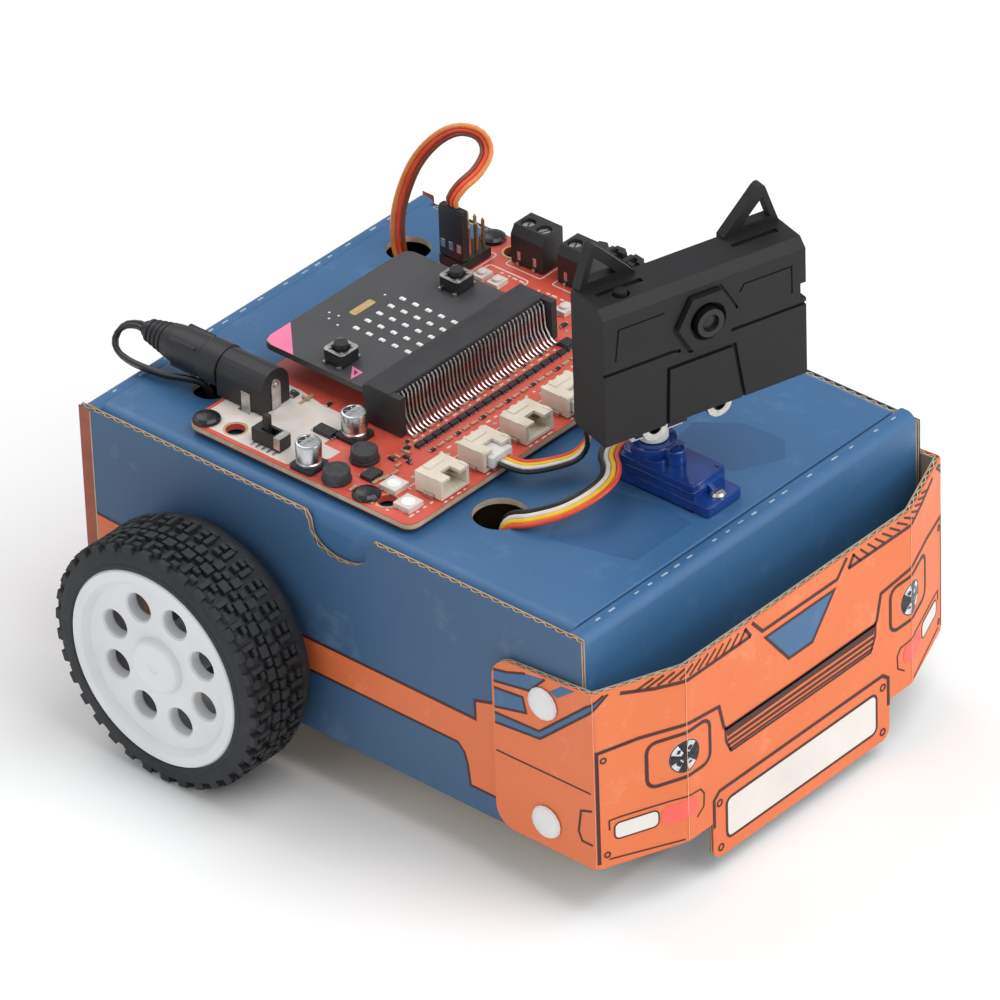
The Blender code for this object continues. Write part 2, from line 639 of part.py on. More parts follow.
def bumper_path(offset):
    """Half of the strip's line seen from above, from the flap's rear end to the middle, moved outwards."""
    side = HALF_WIDTH + GAP + offset
    run = side - BUMPER_FRONT_HALF_WIDTH
    bend = math.atan2(BUMPER_CORNER_Y - BUMPER_FRONT_Y, run)
    slack = offset * math.tan(bend / 2)
    return [
        (side, BUMPER_FLAP_REAR),
        (side, BUMPER_CORNER_Y - offset * math.tan((math.pi / 2 - bend) / 2) + CARD / 2),
        (BUMPER_FRONT_HALF_WIDTH + slack, BUMPER_FRONT_Y + CARD - offset),
    ]


def bumper_strip(orange):
    outer, inner = bumper_path(CARD), bumper_path(0.0)
    outline = outer + [(-x, y) for x, y in reversed(outer)]
    outline += [(-x, y) for x, y in inner] + list(reversed(inner))
    strip = plate(outline, PLATE_TAB_BOTTOM, BUMPER_TOP)
    far = HALF_WIDTH * 1.3
    radius = PLATE_TAB_RADIUS
    tab, low = PLATE_TAB_HALF_WIDTH, PLATE_TAB_BOTTOM
    front_view = [(-far, BUMPER_BOTTOM), (-tab, BUMPER_BOTTOM)]
    front_view += arc((-tab + radius, low + radius), radius, 180, 270)
    front_view += arc((tab - radius, low + radius), radius, 270, 360)
    above = BUMPER_TOP * 1.1
    front_view += [(tab, BUMPER_BOTTOM), (far, BUMPER_BOTTOM), (far, above), (-far, above)]
    boolean(strip, plate(front_view, -2 * HALF_LENGTH, 0, "XZ"), "INTERSECT")
    rear, round_by = BUMPER_FLAP_REAR, BUMPER_CORNER_RADIUS
    side_view = [(2 * BUMPER_FRONT_Y, 0), (BUMPER_CORNER_Y, 0), (BUMPER_CORNER_Y, BUMPER_BOTTOM)]
    side_view += arc((rear - round_by, BUMPER_BOTTOM + round_by), round_by, -90, 0)
    side_view += arc((rear - round_by, BUMPER_FLAP_TOP - round_by), round_by, 0, 90)
    side_view += [(BUMPER_CORNER_Y, BUMPER_TOP * 1.001), (2 * BUMPER_FRONT_Y, BUMPER_TOP * 1.001)]
    boolean(strip, plate(side_view, -far, far, "YZ"), "INTERSECT")
    for height in (RIVET_UPPER_Z, RIVET_LOWER_Z):
        hole = cylinder(RIVET_SHANK_RADIUS + GAP, 2.4 * far, (0, RIVET_Y, height), (1, 0, 0), 16)
        cut(strip, hole)
    return finish(strip, "bumper_strip", orange)


def push_rivet(name, centre, axis, stack, head_radius, surface):
    """A one-piece plastic push rivet. Its head faces along axis, and stack is what it clamps."""
    shank = stack + 2 * GAP
    dome = [(head_radius * math.sin(a), RIVET_HEAD_HEIGHT * math.cos(a)) for a in
            (math.radians(22.5 * i) for i in range(5))]
    profile = dome[:-1] + [
        (head_radius, 0.0),
        (RIVET_SHANK_RADIUS, 0.0),
        (RIVET_SHANK_RADIUS, -shank),
        (RIVET_SHANK_RADIUS + RIVET_BARB, -shank),
        (RIVET_TIP_RADIUS, -shank - RIVET_TAIL),
        (0.0, -shank - RIVET_TAIL),
    ]
    return finish(turned(profile, centre, axis, 16), name, surface, smooth=True)


def bumper_rivets(white):
    stack = 2 * CARD + GAP
    for name, sign, height in rivet_places():
        seat = (sign * (HALF_WIDTH + GAP + CARD + GAP), RIVET_Y, height)
        push_rivet(name, seat, (sign, 0, 0), stack, RIVET_HEAD_RADIUS, white)


# Drive


def gear_motor(side, sign, yellow, steel):
    inner, outer = INNER_HALF_WIDTH - GAP - GEARBOX_THICKNESS, INNER_HALF_WIDTH - GAP
    rear = AXLE_Y + AXLE_FROM_GEARBOX_END
    front = rear - GEARBOX_LENGTH
    half = GEARBOX_HEIGHT / 2
    outline = [(front, AXLE_Z - half), (AXLE_Y, AXLE_Z - half)]
    outline += arc((AXLE_Y, AXLE_Z), half, -90, 90, 12)[1:-1]
    outline += [(AXLE_Y, AXLE_Z + half), (front, AXLE_Z + half)]
    low, high = sorted((sign * inner, sign * outer))
    gearbox = plate(outline, low, high, "YZ")
    bore_centre = sign * (outer - SHAFT_IN_GEARBOX / 2)
    bore_radius, depth = SHAFT_RADIUS + SHAFT_CLEARANCE, SHAFT_IN_GEARBOX + 2 * GAP
    cut(gearbox, cylinder(bore_radius, depth, (bore_centre, AXLE_Y, AXLE_Z), (1, 0, 0), 16))
    finish(gearbox, f"gearbox_{side}", yellow)
    middle_x = sign * (inner + outer) / 2
    reach = math.degrees(math.acos(MOTOR_FLAT / MOTOR_RADIUS))
    section = arc((middle_x, AXLE_Z), MOTOR_RADIUS, reach, 180 - reach, 10)
    section += arc((middle_x, AXLE_Z), MOTOR_RADIUS, 180 + reach, 360 - reach, 10)
    can = plate(section, front - GAP - MOTOR_LENGTH, front - GAP, "XZ")
    finish(can, f"motor_can_{side}", steel, smooth=True)


def wheel(side, sign, white, rubber):
    outward = (sign, 0, 0)
    face = sign * (WHEEL_INNER_X + WHEEL_WIDTH)
    axle = (face, AXLE_Y, AXLE_Z)
    web_outer = -RIM_FACE_DEPTH
    web_inner = web_outer - RIM_WEB
    lip = RIM_RADIUS - RIM_LIP
    bore = SHAFT_RADIUS + SHAFT_CLEARANCE
    hub_end = web_inner - HUB_LENGTH
    profile = [
        (0.0, -0.2 * MM), (HUB_RADIUS * 0.75, -0.3 * MM), (HUB_RADIUS, -0.9 * MM),
        (HUB_RADIUS + 0.3 * MM, web_outer),
        (lip - 1.2 * MM, web_outer), (lip, -0.6 * MM), (lip + 0.6 * MM, 0.0), (RIM_RADIUS - 0.6 * MM, 0.0),
        (RIM_RADIUS, -0.6 * MM), (RIM_RADIUS, -WHEEL_WIDTH), (RIM_RADIUS - 2.0 * MM, -WHEEL_WIDTH),
        (RIM_RADIUS - 2.4 * MM, web_inner), (HUB_RADIUS, web_inner), (HUB_RADIUS, hub_end), (bore, hub_end),
        (bore, hub_end + SHAFT_IN_HUB + GAP), (0.0, hub_end + SHAFT_IN_HUB + GAP),
    ]
    rim = turned(profile, axle, outward, 32)
    for i in range(RIM_HOLES):
        angle = 2 * math.pi * (i + 0.5) / RIM_HOLES
        y = AXLE_Y + RIM_HOLE_CIRCLE * math.cos(angle)
        z = AXLE_Z + RIM_HOLE_CIRCLE * math.sin(angle)
        x = face - sign * (RIM_FACE_DEPTH + RIM_WEB / 2)
        cut(rim, cylinder(RIM_HOLE_RADIUS, 3 * RIM_WEB, (x, y, z), (1, 0, 0), 12))
    finish(rim, f"wheel_rim_{side}", white, smooth=True)
    inside = RIM_RADIUS + GAP
    shoulder = WHEEL_RADIUS - 1.6 * MM
    section = [
        (inside, -0.3 * MM), (inside + 1.0 * MM, 0.0), (shoulder - 2.0 * MM, -0.3 * MM),
        (shoulder, -1.4 * MM), (WHEEL_RADIUS, -3.2 * MM), (WHEEL_RADIUS, -WHEEL_WIDTH + 3.2 * MM),
        (shoulder, -WHEEL_WIDTH + 1.4 * MM), (shoulder - 2.0 * MM, -WHEEL_WIDTH + 0.3 * MM),
        (inside, -WHEEL_WIDTH),
    ]
    finish(turned(section, axle, outward, 40, closed=True), f"tyre_{side}", rubber, smooth=True)
    tip = WHEEL_INNER_X + WHEEL_WIDTH + hub_end + SHAFT_IN_HUB
    root = INNER_HALF_WIDTH - GAP - SHAFT_IN_GEARBOX + GAP
    shaft = cylinder(SHAFT_RADIUS, tip - root, (sign * (tip + root) / 2, AXLE_Y, AXLE_Z), (1, 0, 0), 24)
    finish(shaft, f"output_shaft_{side}", white, smooth=True)


def caster(black, steel):
    ball_centre = (0, CASTER_Y, BALL_RADIUS)
    top = FLOOR_UNDERSIDE - GAP
    length, depth, thick = CASTER_FLANGE
    housing = cylinder(CASTER_RADIUS, top - CASTER_BOTTOM, (0, CASTER_Y, (top + CASTER_BOTTOM) / 2))
    join(housing, box((length, depth, thick), (0, CASTER_Y, top - thick / 2)))
    peg_low, peg_top = top - thick / 2, FLOOR_UNDERSIDE + CARD + PEG_END
    for x in (-PEG_X, PEG_X):
        peg = cylinder(PEG_RADIUS, peg_top - peg_low, (x, CASTER_Y, (peg_low + peg_top) / 2), sides=16)
        join(housing, peg)
    cut(housing, sphere(BALL_RADIUS + BALL_CLEARANCE, ball_centre))
    finish(housing, "caster_housing", black, smooth=True)
    finish(sphere(BALL_RADIUS, ball_centre), "caster_ball", steel, smooth=True)


def line_sensor(pcb, white):
    width, depth, thick = SENSOR_SIZE
    low_corner, high_corner = (-width / 2, SENSOR_Y - depth / 2), (width / 2, SENSOR_Y + depth / 2)
    outline = rounded_rectangle(low_corner, high_corner, SENSOR_CORNER, 3)
    board = plate(outline, SENSOR_BOARD_Z, SENSOR_TOP)
    for i in range(SENSOR_EYES):
        x = (i - (SENSOR_EYES - 1) / 2) * SENSOR_EYE_PITCH
        eye_z = SENSOR_BOARD_Z + SENSOR_EYE_SUNK - SENSOR_EYE[2] / 2
        join(board, box(SENSOR_EYE, (x, SENSOR_Y - SENSOR_EYE_FORWARD, eye_z)))
    socket_z = SENSOR_TOP - SENSOR_EYE_SUNK + SENSOR_SOCKET[2] / 2
    join(board, box(SENSOR_SOCKET, (-width / 2 + SENSOR_SOCKET_FROM_END, SENSOR_Y, socket_z)))
    hole = PEG_RADIUS + PEG_CLEARANCE
    for x in (-PEG_X, PEG_X):
        cut(board, cylinder(hole, 4 * thick, (x, SENSOR_Y, SENSOR_BOARD_Z), sides=16))
    finish(board, "line_sensor_board", pcb)
    top = FLOOR_UNDERSIDE - GAP
    low = SENSOR_TOP + GAP
    peg_low, peg_top = SENSOR_BOARD_Z - PEG_END, FLOOR_UNDERSIDE + CARD + PEG_END
    for side, sign in SIDES:
        x = sign * PEG_X
        spacer = cylinder(SPACER_RADIUS, top - low, (x, SENSOR_Y, (top + low) / 2), sides=20)
        peg = cylinder(PEG_RADIUS, peg_top - peg_low, (x, SENSOR_Y, (peg_top + peg_low) / 2), sides=16)
        finish(join(spacer, peg), f"sensor_spacer_{side}", white, smooth=True)


def battery_holder(black):
    low = FLOOR_UNDERSIDE + CARD + GAP
    half_width = CELLS * CELL_PITCH / 2
    half_length = CELL_LENGTH / 2 + CONTACT_STRIP[1] + GAP
    holder = span_box(
        (-half_width - HOLDER_WALL, HOLDER_Y - half_length - HOLDER_WALL, low),
        (half_width + HOLDER_WALL, HOLDER_Y + half_length + HOLDER_WALL, low + HOLDER_HEIGHT),
    )
    well = span_box(
        (-half_width, HOLDER_Y - half_length, low + HOLDER_WALL),
        (half_width, HOLDER_Y + half_length, low + 2 * HOLDER_HEIGHT),
    )
    cut(holder, well)
    for x in (-PEG_X, PEG_X):
        cut(holder, cylinder(PEG_RADIUS + PEG_CLEARANCE, 3 * HOLDER_WALL, (x, CASTER_Y, low), sides=16))
    finish(holder, "battery_holder", black)


def battery_cells(steel):
    """Four cells, joined in a chain by the contact strips at their ends."""
    cell_z = FLOOR_UNDERSIDE + CARD + GAP + HOLDER_WALL + GAP + CELL_RADIUS
    columns = [(i - (CELLS - 1) / 2) * CELL_PITCH for i in range(CELLS)]
    cells = cylinder(CELL_RADIUS, CELL_LENGTH, (columns[0], HOLDER_Y, cell_z), (0, 1, 0), 24)
    for x in columns[1:]:
        join(cells, cylinder(CELL_RADIUS, CELL_LENGTH, (x, HOLDER_Y, cell_z), (0, 1, 0), 24))
    width, thick, height = CONTACT_STRIP
    sunk = 0.3 * MM
    for i, x in enumerate(columns[:-1]):
        end = 1 if i % 2 else -1
        y = HOLDER_Y + end * (CELL_LENGTH / 2 + (thick - sunk) / 2)
        join(cells, box((CELL_PITCH + width, thick + sunk, height), (x + CELL_PITCH / 2, y, cell_z)))
    finish(cells, "battery_cells", steel)


# Electronics on the lid


def driver_board(red):
    (width, length, _), (x, y) = BOARD_SIZE, BOARD_CENTRE
    low, high = (x - width / 2, y - length / 2), (x + width / 2, y + length / 2)
    board = plate(rounded_rectangle(low, high, BOARD_CORNER), BOARD_BOTTOM, BOARD_TOP)
    for rx, ry in board_rivet_places().values():
        cut(board, cylinder(RIVET_SHANK_RADIUS + GAP, 4 * CARD, (rx, ry, BOARD_TOP), sides=16))
    for hx in (low[0] + BOARD_HOLE_INSET, high[0] - BOARD_HOLE_INSET):
        for hy in (BOARD_HOLE_REAR_Y, BOARD_HOLE_FRONT_Y):
            cut(board, cylinder(BOARD_HOLE_RADIUS, 4 * CARD, (hx, hy, BOARD_TOP), sides=20))
    return finish(board, "driver_board", red)


def board_rivets(black):
    stack = CARD + BOARD_LIFT + BOARD_SIZE[2]
    for name, (x, y) in board_rivet_places().items():
        push_rivet(name, (x, y, BOARD_TOP + GAP), (0, 0, 1), stack, BOARD_RIVET_HEAD, black)


def controller(black, grey):
    (width, depth, height), (x, y) = CONNECTOR_SIZE, CONNECTOR_CENTRE
    low = (x - width / 2, y - depth / 2, PART_SEAT)
    high = (x + width / 2, y + depth / 2, PART_SEAT + height)
    connector = span_box(low, high)
    pocket = span_box(
        (low[0] + CONNECTOR_END_WALL, low[1] - GAP, low[2] - GAP),
        (high[0] - CONNECTOR_END_WALL, low[1] + CONNECTOR_PIN_POCKET, high[2] + GAP),
    )
    cut(connector, pocket)
    board_half = CONTROLLER_SIZE[0] / 2
    slot = span_box(
        (x - board_half - GAP, CONTROLLER_FRONT_Y - GAP, CONTROLLER_BOTTOM - GAP),
        (x + board_half + GAP, high[1] + GAP, CONTROLLER_TOP + GAP),
    )
    cut(connector, slot)
    finish(connector, "edge_connector", black)
    rear = CONTROLLER_FRONT_Y + CONTROLLER_SIZE[1]
    outline = [(x - board_half, CONTROLLER_FRONT_Y), (x + board_half, CONTROLLER_FRONT_Y)]
    outline += arc((x + board_half - 3 * MM, rear - 3 * MM), 3 * MM, 0, 90)
    outline += arc((x - board_half + 3 * MM, rear - 3 * MM), 3 * MM, 90, 180)
    finish(plate(outline, CONTROLLER_BOTTOM, CONTROLLER_TOP), "controller_board", grey)


def tact_switches(black):
    seat = CONTROLLER_TOP + GAP
    for letter, sign in (("a", -1), ("b", 1)):
        x = CONNECTOR_CENTRE[0] + sign * BUTTON_SPACING / 2
        body = box((TACT_SIZE, TACT_SIZE, TACT_HEIGHT), (x, BUTTON_Y, seat + TACT_HEIGHT / 2), 0.3 * MM)
        top = seat + TACT_HEIGHT
        well = PLUNGER_RADIUS + PLUNGER_CLEARANCE
        depth = PLUNGER_DEPTH + 2 * GAP
        cut(body, cylinder(well, 2 * depth, (x, BUTTON_Y, top), sides=20))
        finish(body, f"tact_switch_{letter}", black)
        length = PLUNGER_DEPTH + PLUNGER_RISE
        plunger = cylinder(PLUNGER_RADIUS, length, (x, BUTTON_Y, top - PLUNGER_DEPTH + length / 2), sides=20)
        finish(plunger, f"tact_button_{letter}", black, smooth=True)


def power_jack(black):
    (width, length, height), (x, y) = JACK_SIZE, JACK_CENTRE
    body = box((width, length, height * 0.55), (x, y, PART_SEAT + height * 0.275))
    barrel = cylinder(width / 2, length, (x, y, JACK_AXIS_Z + 0.4 * MM), (0, 1, 0), 24)
    join(body, barrel)
    rear = y + length / 2
    cut(body, cylinder(JACK_BORE_RADIUS, 2 * JACK_BORE_DEPTH, (x, rear, JACK_AXIS_Z), (0, 1, 0), 24))
    finish(body, "dc_jack", black)
    neck = PLUG_BODY_RADIUS
    profile = [
        (0.0, PLUG_BODY_LENGTH), (2.4 * MM, PLUG_BODY_LENGTH), (3.6 * MM, PLUG_BODY_LENGTH - 7.5 * MM),
        (neck - 0.3 * MM, PLUG_BODY_LENGTH - 9.0 * MM), (neck, PLUG_BODY_LENGTH - 12.0 * MM),
        (neck, 7.0 * MM), (neck + 0.5 * MM, 6.0 * MM), (neck + 0.5 * MM, 0.0), (PLUG_BARREL_RADIUS, 0.0),
        (PLUG_BARREL_RADIUS, -PLUG_BARREL_LENGTH), (1.2 * MM, -PLUG_BARREL_LENGTH), (1.2 * MM, -1.0 * MM),
        (0.0, -1.0 * MM),
    ]
    plug = turned(profile, (x, rear + GAP, JACK_AXIS_Z), (0, 1, 0), 20)
    finish(plug, "dc_plug", black, smooth=True)


def slide_switch(black):
    (width, length, height), (x, y) = SWITCH_SIZE, SWITCH_CENTRE
    body = box((width, length, height), (x, y, PART_SEAT + height / 2))
    top = PART_SEAT + height
    knob_width, knob_length, knob_height = KNOB_SIZE
    slot_low = y - SWITCH_TRAVEL / 2 - knob_length / 2 - GAP
    slot_high = y + SWITCH_TRAVEL / 2 + knob_length / 2 + GAP
    slot_half = knob_width / 2 + GAP
    slot = span_box(
        (x - slot_half, slot_low, top - KNOB_SEAT - GAP), (x + slot_half, slot_high, top + GAP)
    )
    cut(body, slot)
    finish(body, "slide_switch_body", black)
    knob_y = y + SWITCH_TRAVEL / 2
    low = top - KNOB_SEAT
    knob = box((knob_width, knob_length, knob_height), (x, knob_y, low + knob_height / 2), 0.2 * MM)
    finish(knob, "slide_switch_knob", black)


def ports(cream, white):
    width, depth, height = PORT_SIZE
    for number in range(1, 5):
        x = PORT_FIRST_X + (number - 1) * PORT_PITCH
        front = PORT_FRONT_Y
        housing = span_box(
            (x - width / 2, front, PART_SEAT), (x + width / 2, front + depth, PART_SEAT + height)
        )
        pocket_half = width / 2 - PORT_WALL
        pocket_low, pocket_high = PART_SEAT + PORT_WALL * 0.8, PART_SEAT + height - PORT_WALL * 0.8
        pocket = span_box(
            (x - pocket_half, front - GAP, pocket_low), (x + pocket_half, front + PORT_POCKET, pocket_high)
        )
        window_half = pocket_half * 0.45
        window = span_box(
            (x - window_half, front - GAP, pocket_high - GAP),
            (x + window_half, front + PORT_POCKET * 0.6, PART_SEAT + height + GAP),
        )
        cut(housing, pocket, window)
        finish(housing, f"port_{number}", cream)
        if number not in PLUGGED_PORTS:
            continue
        plug = span_box(
            (x - pocket_half + GAP, front - PORT_PLUG_OUT, pocket_low + GAP),
            (x + pocket_half - GAP, front + PORT_POCKET - 2 * GAP, pocket_high - GAP),
            0.2 * MM,
        )
        finish(plug, f"port_plug_{number}", white)


def screw_terminals(black):
    width, length, height = TERMINAL_SIZE
    for number, y in enumerate(TERMINAL_Y, 1):
        block = box((width, length, height), (TERMINAL_X, y, PART_SEAT + height / 2))
        chamfer = [
            (TERMINAL_X - width / 2 - GAP, PART_SEAT + height * 0.72),
            (TERMINAL_X - width / 2 + TERMINAL_CHAMFER, PART_SEAT + height + GAP),
            (TERMINAL_X - width / 2 - GAP, PART_SEAT + height + GAP),
        ]
        cut(block, plate(chamfer, y - length, y + length, "XZ"))
        for sign in (-1, 1):
            way = y + sign * length / 4
            well = (TERMINAL_X, way, PART_SEAT + height)
            cut(block, cylinder(TERMINAL_SCREW_RADIUS, 2 * TERMINAL_SCREW_DEPTH, well, sides=16))
            entry = (TERMINAL_X + width / 2, way, PART_SEAT + height * 0.3)
            cut(block, cylinder(TERMINAL_BORE_RADIUS, 2 * TERMINAL_BORE_DEPTH, entry, (1, 0, 0), 16))
        finish(block, f"screw_terminal_{number}", black)


def servo_header(black):
    x, y = HEADER_CENTRE
    rows = [x + (i - (HEADER_ROWS - 1) / 2) * HEADER_PITCH for i in range(HEADER_ROWS)]
    header = span_box(
        (rows[0] - HEADER_PITCH / 2, y - 1.5 * HEADER_PITCH, PART_SEAT),
        (rows[-1] + HEADER_PITCH / 2, y + 1.5 * HEADER_PITCH, PART_SEAT + HEADER_BASE),
    )
    low = PART_SEAT + HEADER_BASE / 2
    high = PART_SEAT + HEADER_BASE + HEADER_PIN_HEIGHT
    for row in rows:
        for i in (-1, 0, 1):
            pin = box((HEADER_PIN, HEADER_PIN, high - low), (row, y + i * HEADER_PITCH, (low + high) / 2))
            join(header, pin)
    finish(header, "servo_header", black)
    seat = PART_SEAT + HEADER_BASE + GAP
    plug = span_box(
        (rows[0] - HEADER_PITCH / 2 + GAP / 2, y - 1.5 * HEADER_PITCH, seat),
        (rows[0] + HEADER_PITCH / 2 - GAP / 2, y + 1.5 * HEADER_PITCH, seat + SERVO_PLUG_HEIGHT),
    )
    for i in (-1, 0, 1):
        well = HEADER_PIN + 2 * GAP
        depth = HEADER_PIN_HEIGHT + 2 * GAP
        cut(plug, box((well, well, 2 * depth), (rows[0], y + i * HEADER_PITCH, seat)))
    finish(plug, "servo_plug", black)


# Camera head


def servo(blue):
    x, y = SERVO_SHAFT
    middle = SERVO_CENTRE_Y
    low, high = SERVO_SEAT - SERVO_BELOW, SERVO_TOP
    body = box((SERVO_WIDTH, SERVO_LENGTH, high - low), (x, middle, (low + high) / 2))
    flange_z = SERVO_SEAT + SERVO_FLANGE / 2
    join(body, box((SERVO_WIDTH, SERVO_FLANGE_LENGTH, SERVO_FLANGE), (x, middle, flange_z)))
    height = SERVO_TOWER_HEIGHT + 1 * MM
    middle_z = TOWER_TOP - height / 2
    join(body, cylinder(SERVO_TOWER_RADIUS, height, (x, y, middle_z)))
    gear_cover = (x, y - SERVO_GEAR_COVER_OFFSET, middle_z)
    join(body, cylinder(SERVO_GEAR_COVER_RADIUS, height, gear_cover, sides=20))
    for sign in (-1, 1):
        ear = (x, middle + sign * (SERVO_FLANGE_LENGTH + SERVO_LENGTH) / 4, flange_z)
        cut(body, cylinder(1.0 * MM, 2 * SERVO_FLANGE, ear, sides=16))
    bore = HORN_SHAFT_RADIUS + GAP
    cut(body, cylinder(bore, 2 * SERVO_TOWER_HEIGHT, (x, y, TOWER_TOP), sides=20))
    finish(body, "servo_body", blue)


def servo_horn(white):
    """The horn and the splined shaft that it is pressed on."""
    x, y = SERVO_SHAFT
    low = TOWER_TOP - SERVO_TOWER_HEIGHT + GAP
    high = HORN_BOTTOM + HORN_HEIGHT
    horn = cylinder(HORN_SHAFT_RADIUS, high - low, (x, y, (low + high) / 2), sides=20)
    join(horn, cylinder(HORN_RADIUS, HORN_HEIGHT, (x, y, HORN_BOTTOM + HORN_HEIGHT / 2), sides=20))
    arm = box((HORN_ARM, 3.6 * MM, 1.5 * MM), (0, 0, 0))
    arm.data.transform(Matrix.Rotation(CAMERA_YAW, 4, "Z"))
    arm.data.transform(Matrix.Translation((x, y, HORN_BOTTOM + HORN_HEIGHT - 0.75 * MM)))
    join(horn, arm)
    finish(horn, "servo_horn", white, smooth=True)


def place_on_head(obj):
    """Moves a shape drawn round the pan axis, facing -Y, to the servo shaft at the head's resting yaw."""
    place = Matrix.Translation((*SERVO_SHAFT, 0)) @ Matrix.Rotation(CAMERA_YAW, 4, "Z")
    obj.data.transform(place)
    return obj


def camera_bracket(black):
    back = CAMERA_BACK_OFFSET + GAP
    half = BRACKET_WIDTH / 2
    foot_top = BRACKET_BOTTOM + BRACKET_THICKNESS
    foot = span_box((-half, back, BRACKET_BOTTOM), (half, HORN_RADIUS + BRACKET_FOOT_BEHIND, foot_top))
    upright = span_box(
        (-half, back, BRACKET_BOTTOM), (half, back + BRACKET_THICKNESS, BRACKET_BOTTOM + BRACKET_HEIGHT)
    )
    join(place_on_head(foot), place_on_head(upright))
    front_end, back_end = back - BRACKET_PEG_OUT, back + BRACKET_THICKNESS / 2
    for rise in BRACKET_PEG_RISES:
        middle = (0, (front_end + back_end) / 2, CAMERA_BOTTOM + rise)
        peg = cylinder(BRACKET_PEG_RADIUS, back_end - front_end, middle, (0, 1, 0), 20)
        join(foot, place_on_head(peg))
    finish(foot, "camera_bracket", black)


def camera_frame():
    """The case's corners round the pan axis: x low, x high, front y, back y."""
    width, depth, _ = CAMERA_SIZE
    return (
        CAMERA_SIDE_OFFSET - width / 2,
        CAMERA_SIDE_OFFSET + width / 2,
        CAMERA_BACK_OFFSET - depth,
        CAMERA_BACK_OFFSET,
    )


def camera_case(black):
    left, right, front, back = camera_frame()
    low, high = CAMERA_BOTTOM, CAMERA_BOTTOM + CAMERA_SIZE[2]
    wall, chamfer = CAMERA_WALL, CAMERA_CHAMFER
    outline = [(front, low), (back, low), (back, high), (front + chamfer, high), (front, high - chamfer)]
    case = place_on_head(plate(outline, left, right, "YZ"))
    ring = arc((CAMERA_SIDE_OFFSET, LENS_Z), HEX_RADIUS, 0, 300, 5)
    join(case, place_on_head(plate(ring, front - HEX_RISE, front + 1 * MM, "XZ")))
    for sign in (-1, 1):
        middle = CAMERA_SIDE_OFFSET
        near, far = [middle + sign * x for x in EAR_FOOT]
        tip_near, tip_far = [middle + sign * x for x in EAR_TIP]
        ear = [
            (near, high - wall / 2), (far, high - wall / 2), (far, high + EAR_ROOT),
            (tip_far, high + EAR_HEIGHT), (tip_near, high + EAR_HEIGHT), (near, high + EAR_ROOT),
        ]
        hole_near, hole_far = [middle + sign * x for x in EAR_HOLE_FOOT]
        hole_low, hole_high = [high + rise for rise in EAR_HOLE_RISES]
        hole = [(hole_near, hole_low), (hole_far, hole_low), (middle + sign * EAR_HOLE_TIP, hole_high)]
        join(case, place_on_head(plate(ear[::sign], back - EAR_THICKNESS, back, "XZ")))
        cut(case, place_on_head(plate(hole[::sign], back - 2 * EAR_THICKNESS, back + 1 * MM, "XZ")))
    hollow = span_box(
        (left + wall, front + wall, low - wall), (right - wall, back - wall, high - wall)
    )
    cut(case, place_on_head(hollow))
    lens_hole = cylinder(LENS_RADIUS + GAP, 4 * wall, (CAMERA_SIDE_OFFSET, front, LENS_Z), (0, 1, 0), 24)
    cut(case, place_on_head(lens_hole))
    well = (CAMERA_BUTTON_X, front + CAMERA_BUTTON_BACK, high)
    button_well = cylinder(CAMERA_BUTTON_RADIUS + PLUNGER_CLEARANCE, 3 * wall, well, sides=16)
    cut(case, place_on_head(button_well))
    for rise in BRACKET_PEG_RISES:
        hole_centre = (0, back, CAMERA_BOTTOM + rise)
        peg_hole = cylinder(BRACKET_PEG_RADIUS + GAP, 3 * wall, hole_centre, (0, 1, 0), 20)
        cut(case, place_on_head(peg_hole))
    socket = span_box(
        (CAMERA_SOCKET_X[0], back - 2 * wall, CAMERA_SOCKET_Z[0]),
        (CAMERA_SOCKET_X[1], back + wall, CAMERA_SOCKET_Z[1]),
    )
    cut(case, place_on_head(socket))
    finish(case, "camera_case", black)


def camera_board(pcb):
    """The camera's circuit board, with its shielded parts, cable socket and two ring lugs below the case."""
    left, right, front, back = camera_frame()
    wall = CAMERA_WALL + GAP
    plane = front + wall
    high = CAMERA_BOTTOM + CAMERA_SIZE[2] - wall
    board = place_on_head(
        span_box((left + wall, plane, CAMERA_BOTTOM + 0.6 * MM), (right - wall, plane + CAMERA_BOARD, high))
    )
    for x in LUG_X:
        centre = (x, plane + CAMERA_BOARD / 2, CAMERA_BOTTOM - LUG_DROP)
        join(board, place_on_head(cylinder(LUG_RADIUS, CAMERA_BOARD, centre, (0, 1, 0), 24)))
        cut(board, place_on_head(cylinder(LUG_EYE_RADIUS, 3 * CAMERA_BOARD, centre, (0, 1, 0), 20)))
    socket = span_box(
        (CAMERA_SOCKET_X[0] + GAP, plane + CAMERA_BOARD / 2, CAMERA_SOCKET_Z[0] + GAP),
        (CAMERA_SOCKET_X[1] - GAP, back + SOCKET_PROUD, CAMERA_SOCKET_Z[1] - GAP),
    )
    join(board, place_on_head(socket))
    shield = span_box(
        (left + wall + SHIELD_INSET, plane + CAMERA_BOARD / 2, CAMERA_BOTTOM + SHIELD_INSET),
        (right - wall - SHIELD_INSET, back - CAMERA_WALL - SHIELD_INSET, high - SHIELD_INSET),
    )
    join(board, place_on_head(shield))
    finish(board, "camera_board", pcb)


def camera_lens(black):
    _, _, front, _ = camera_frame()
    lens = turned(
        [
            (0.0, LENS_PROUD - 0.4 * MM), (LENS_GLASS_RADIUS, LENS_PROUD - 0.9 * MM),
            (LENS_GLASS_RADIUS + 0.25 * MM, LENS_PROUD),
            (LENS_RADIUS, LENS_PROUD), (LENS_RADIUS, -LENS_SEAT), (0.0, -LENS_SEAT),
        ],
        (CAMERA_SIDE_OFFSET, front, LENS_Z), (0, -1, 0), 24,
    )
    finish(place_on_head(lens), "camera_lens", black, smooth=True)


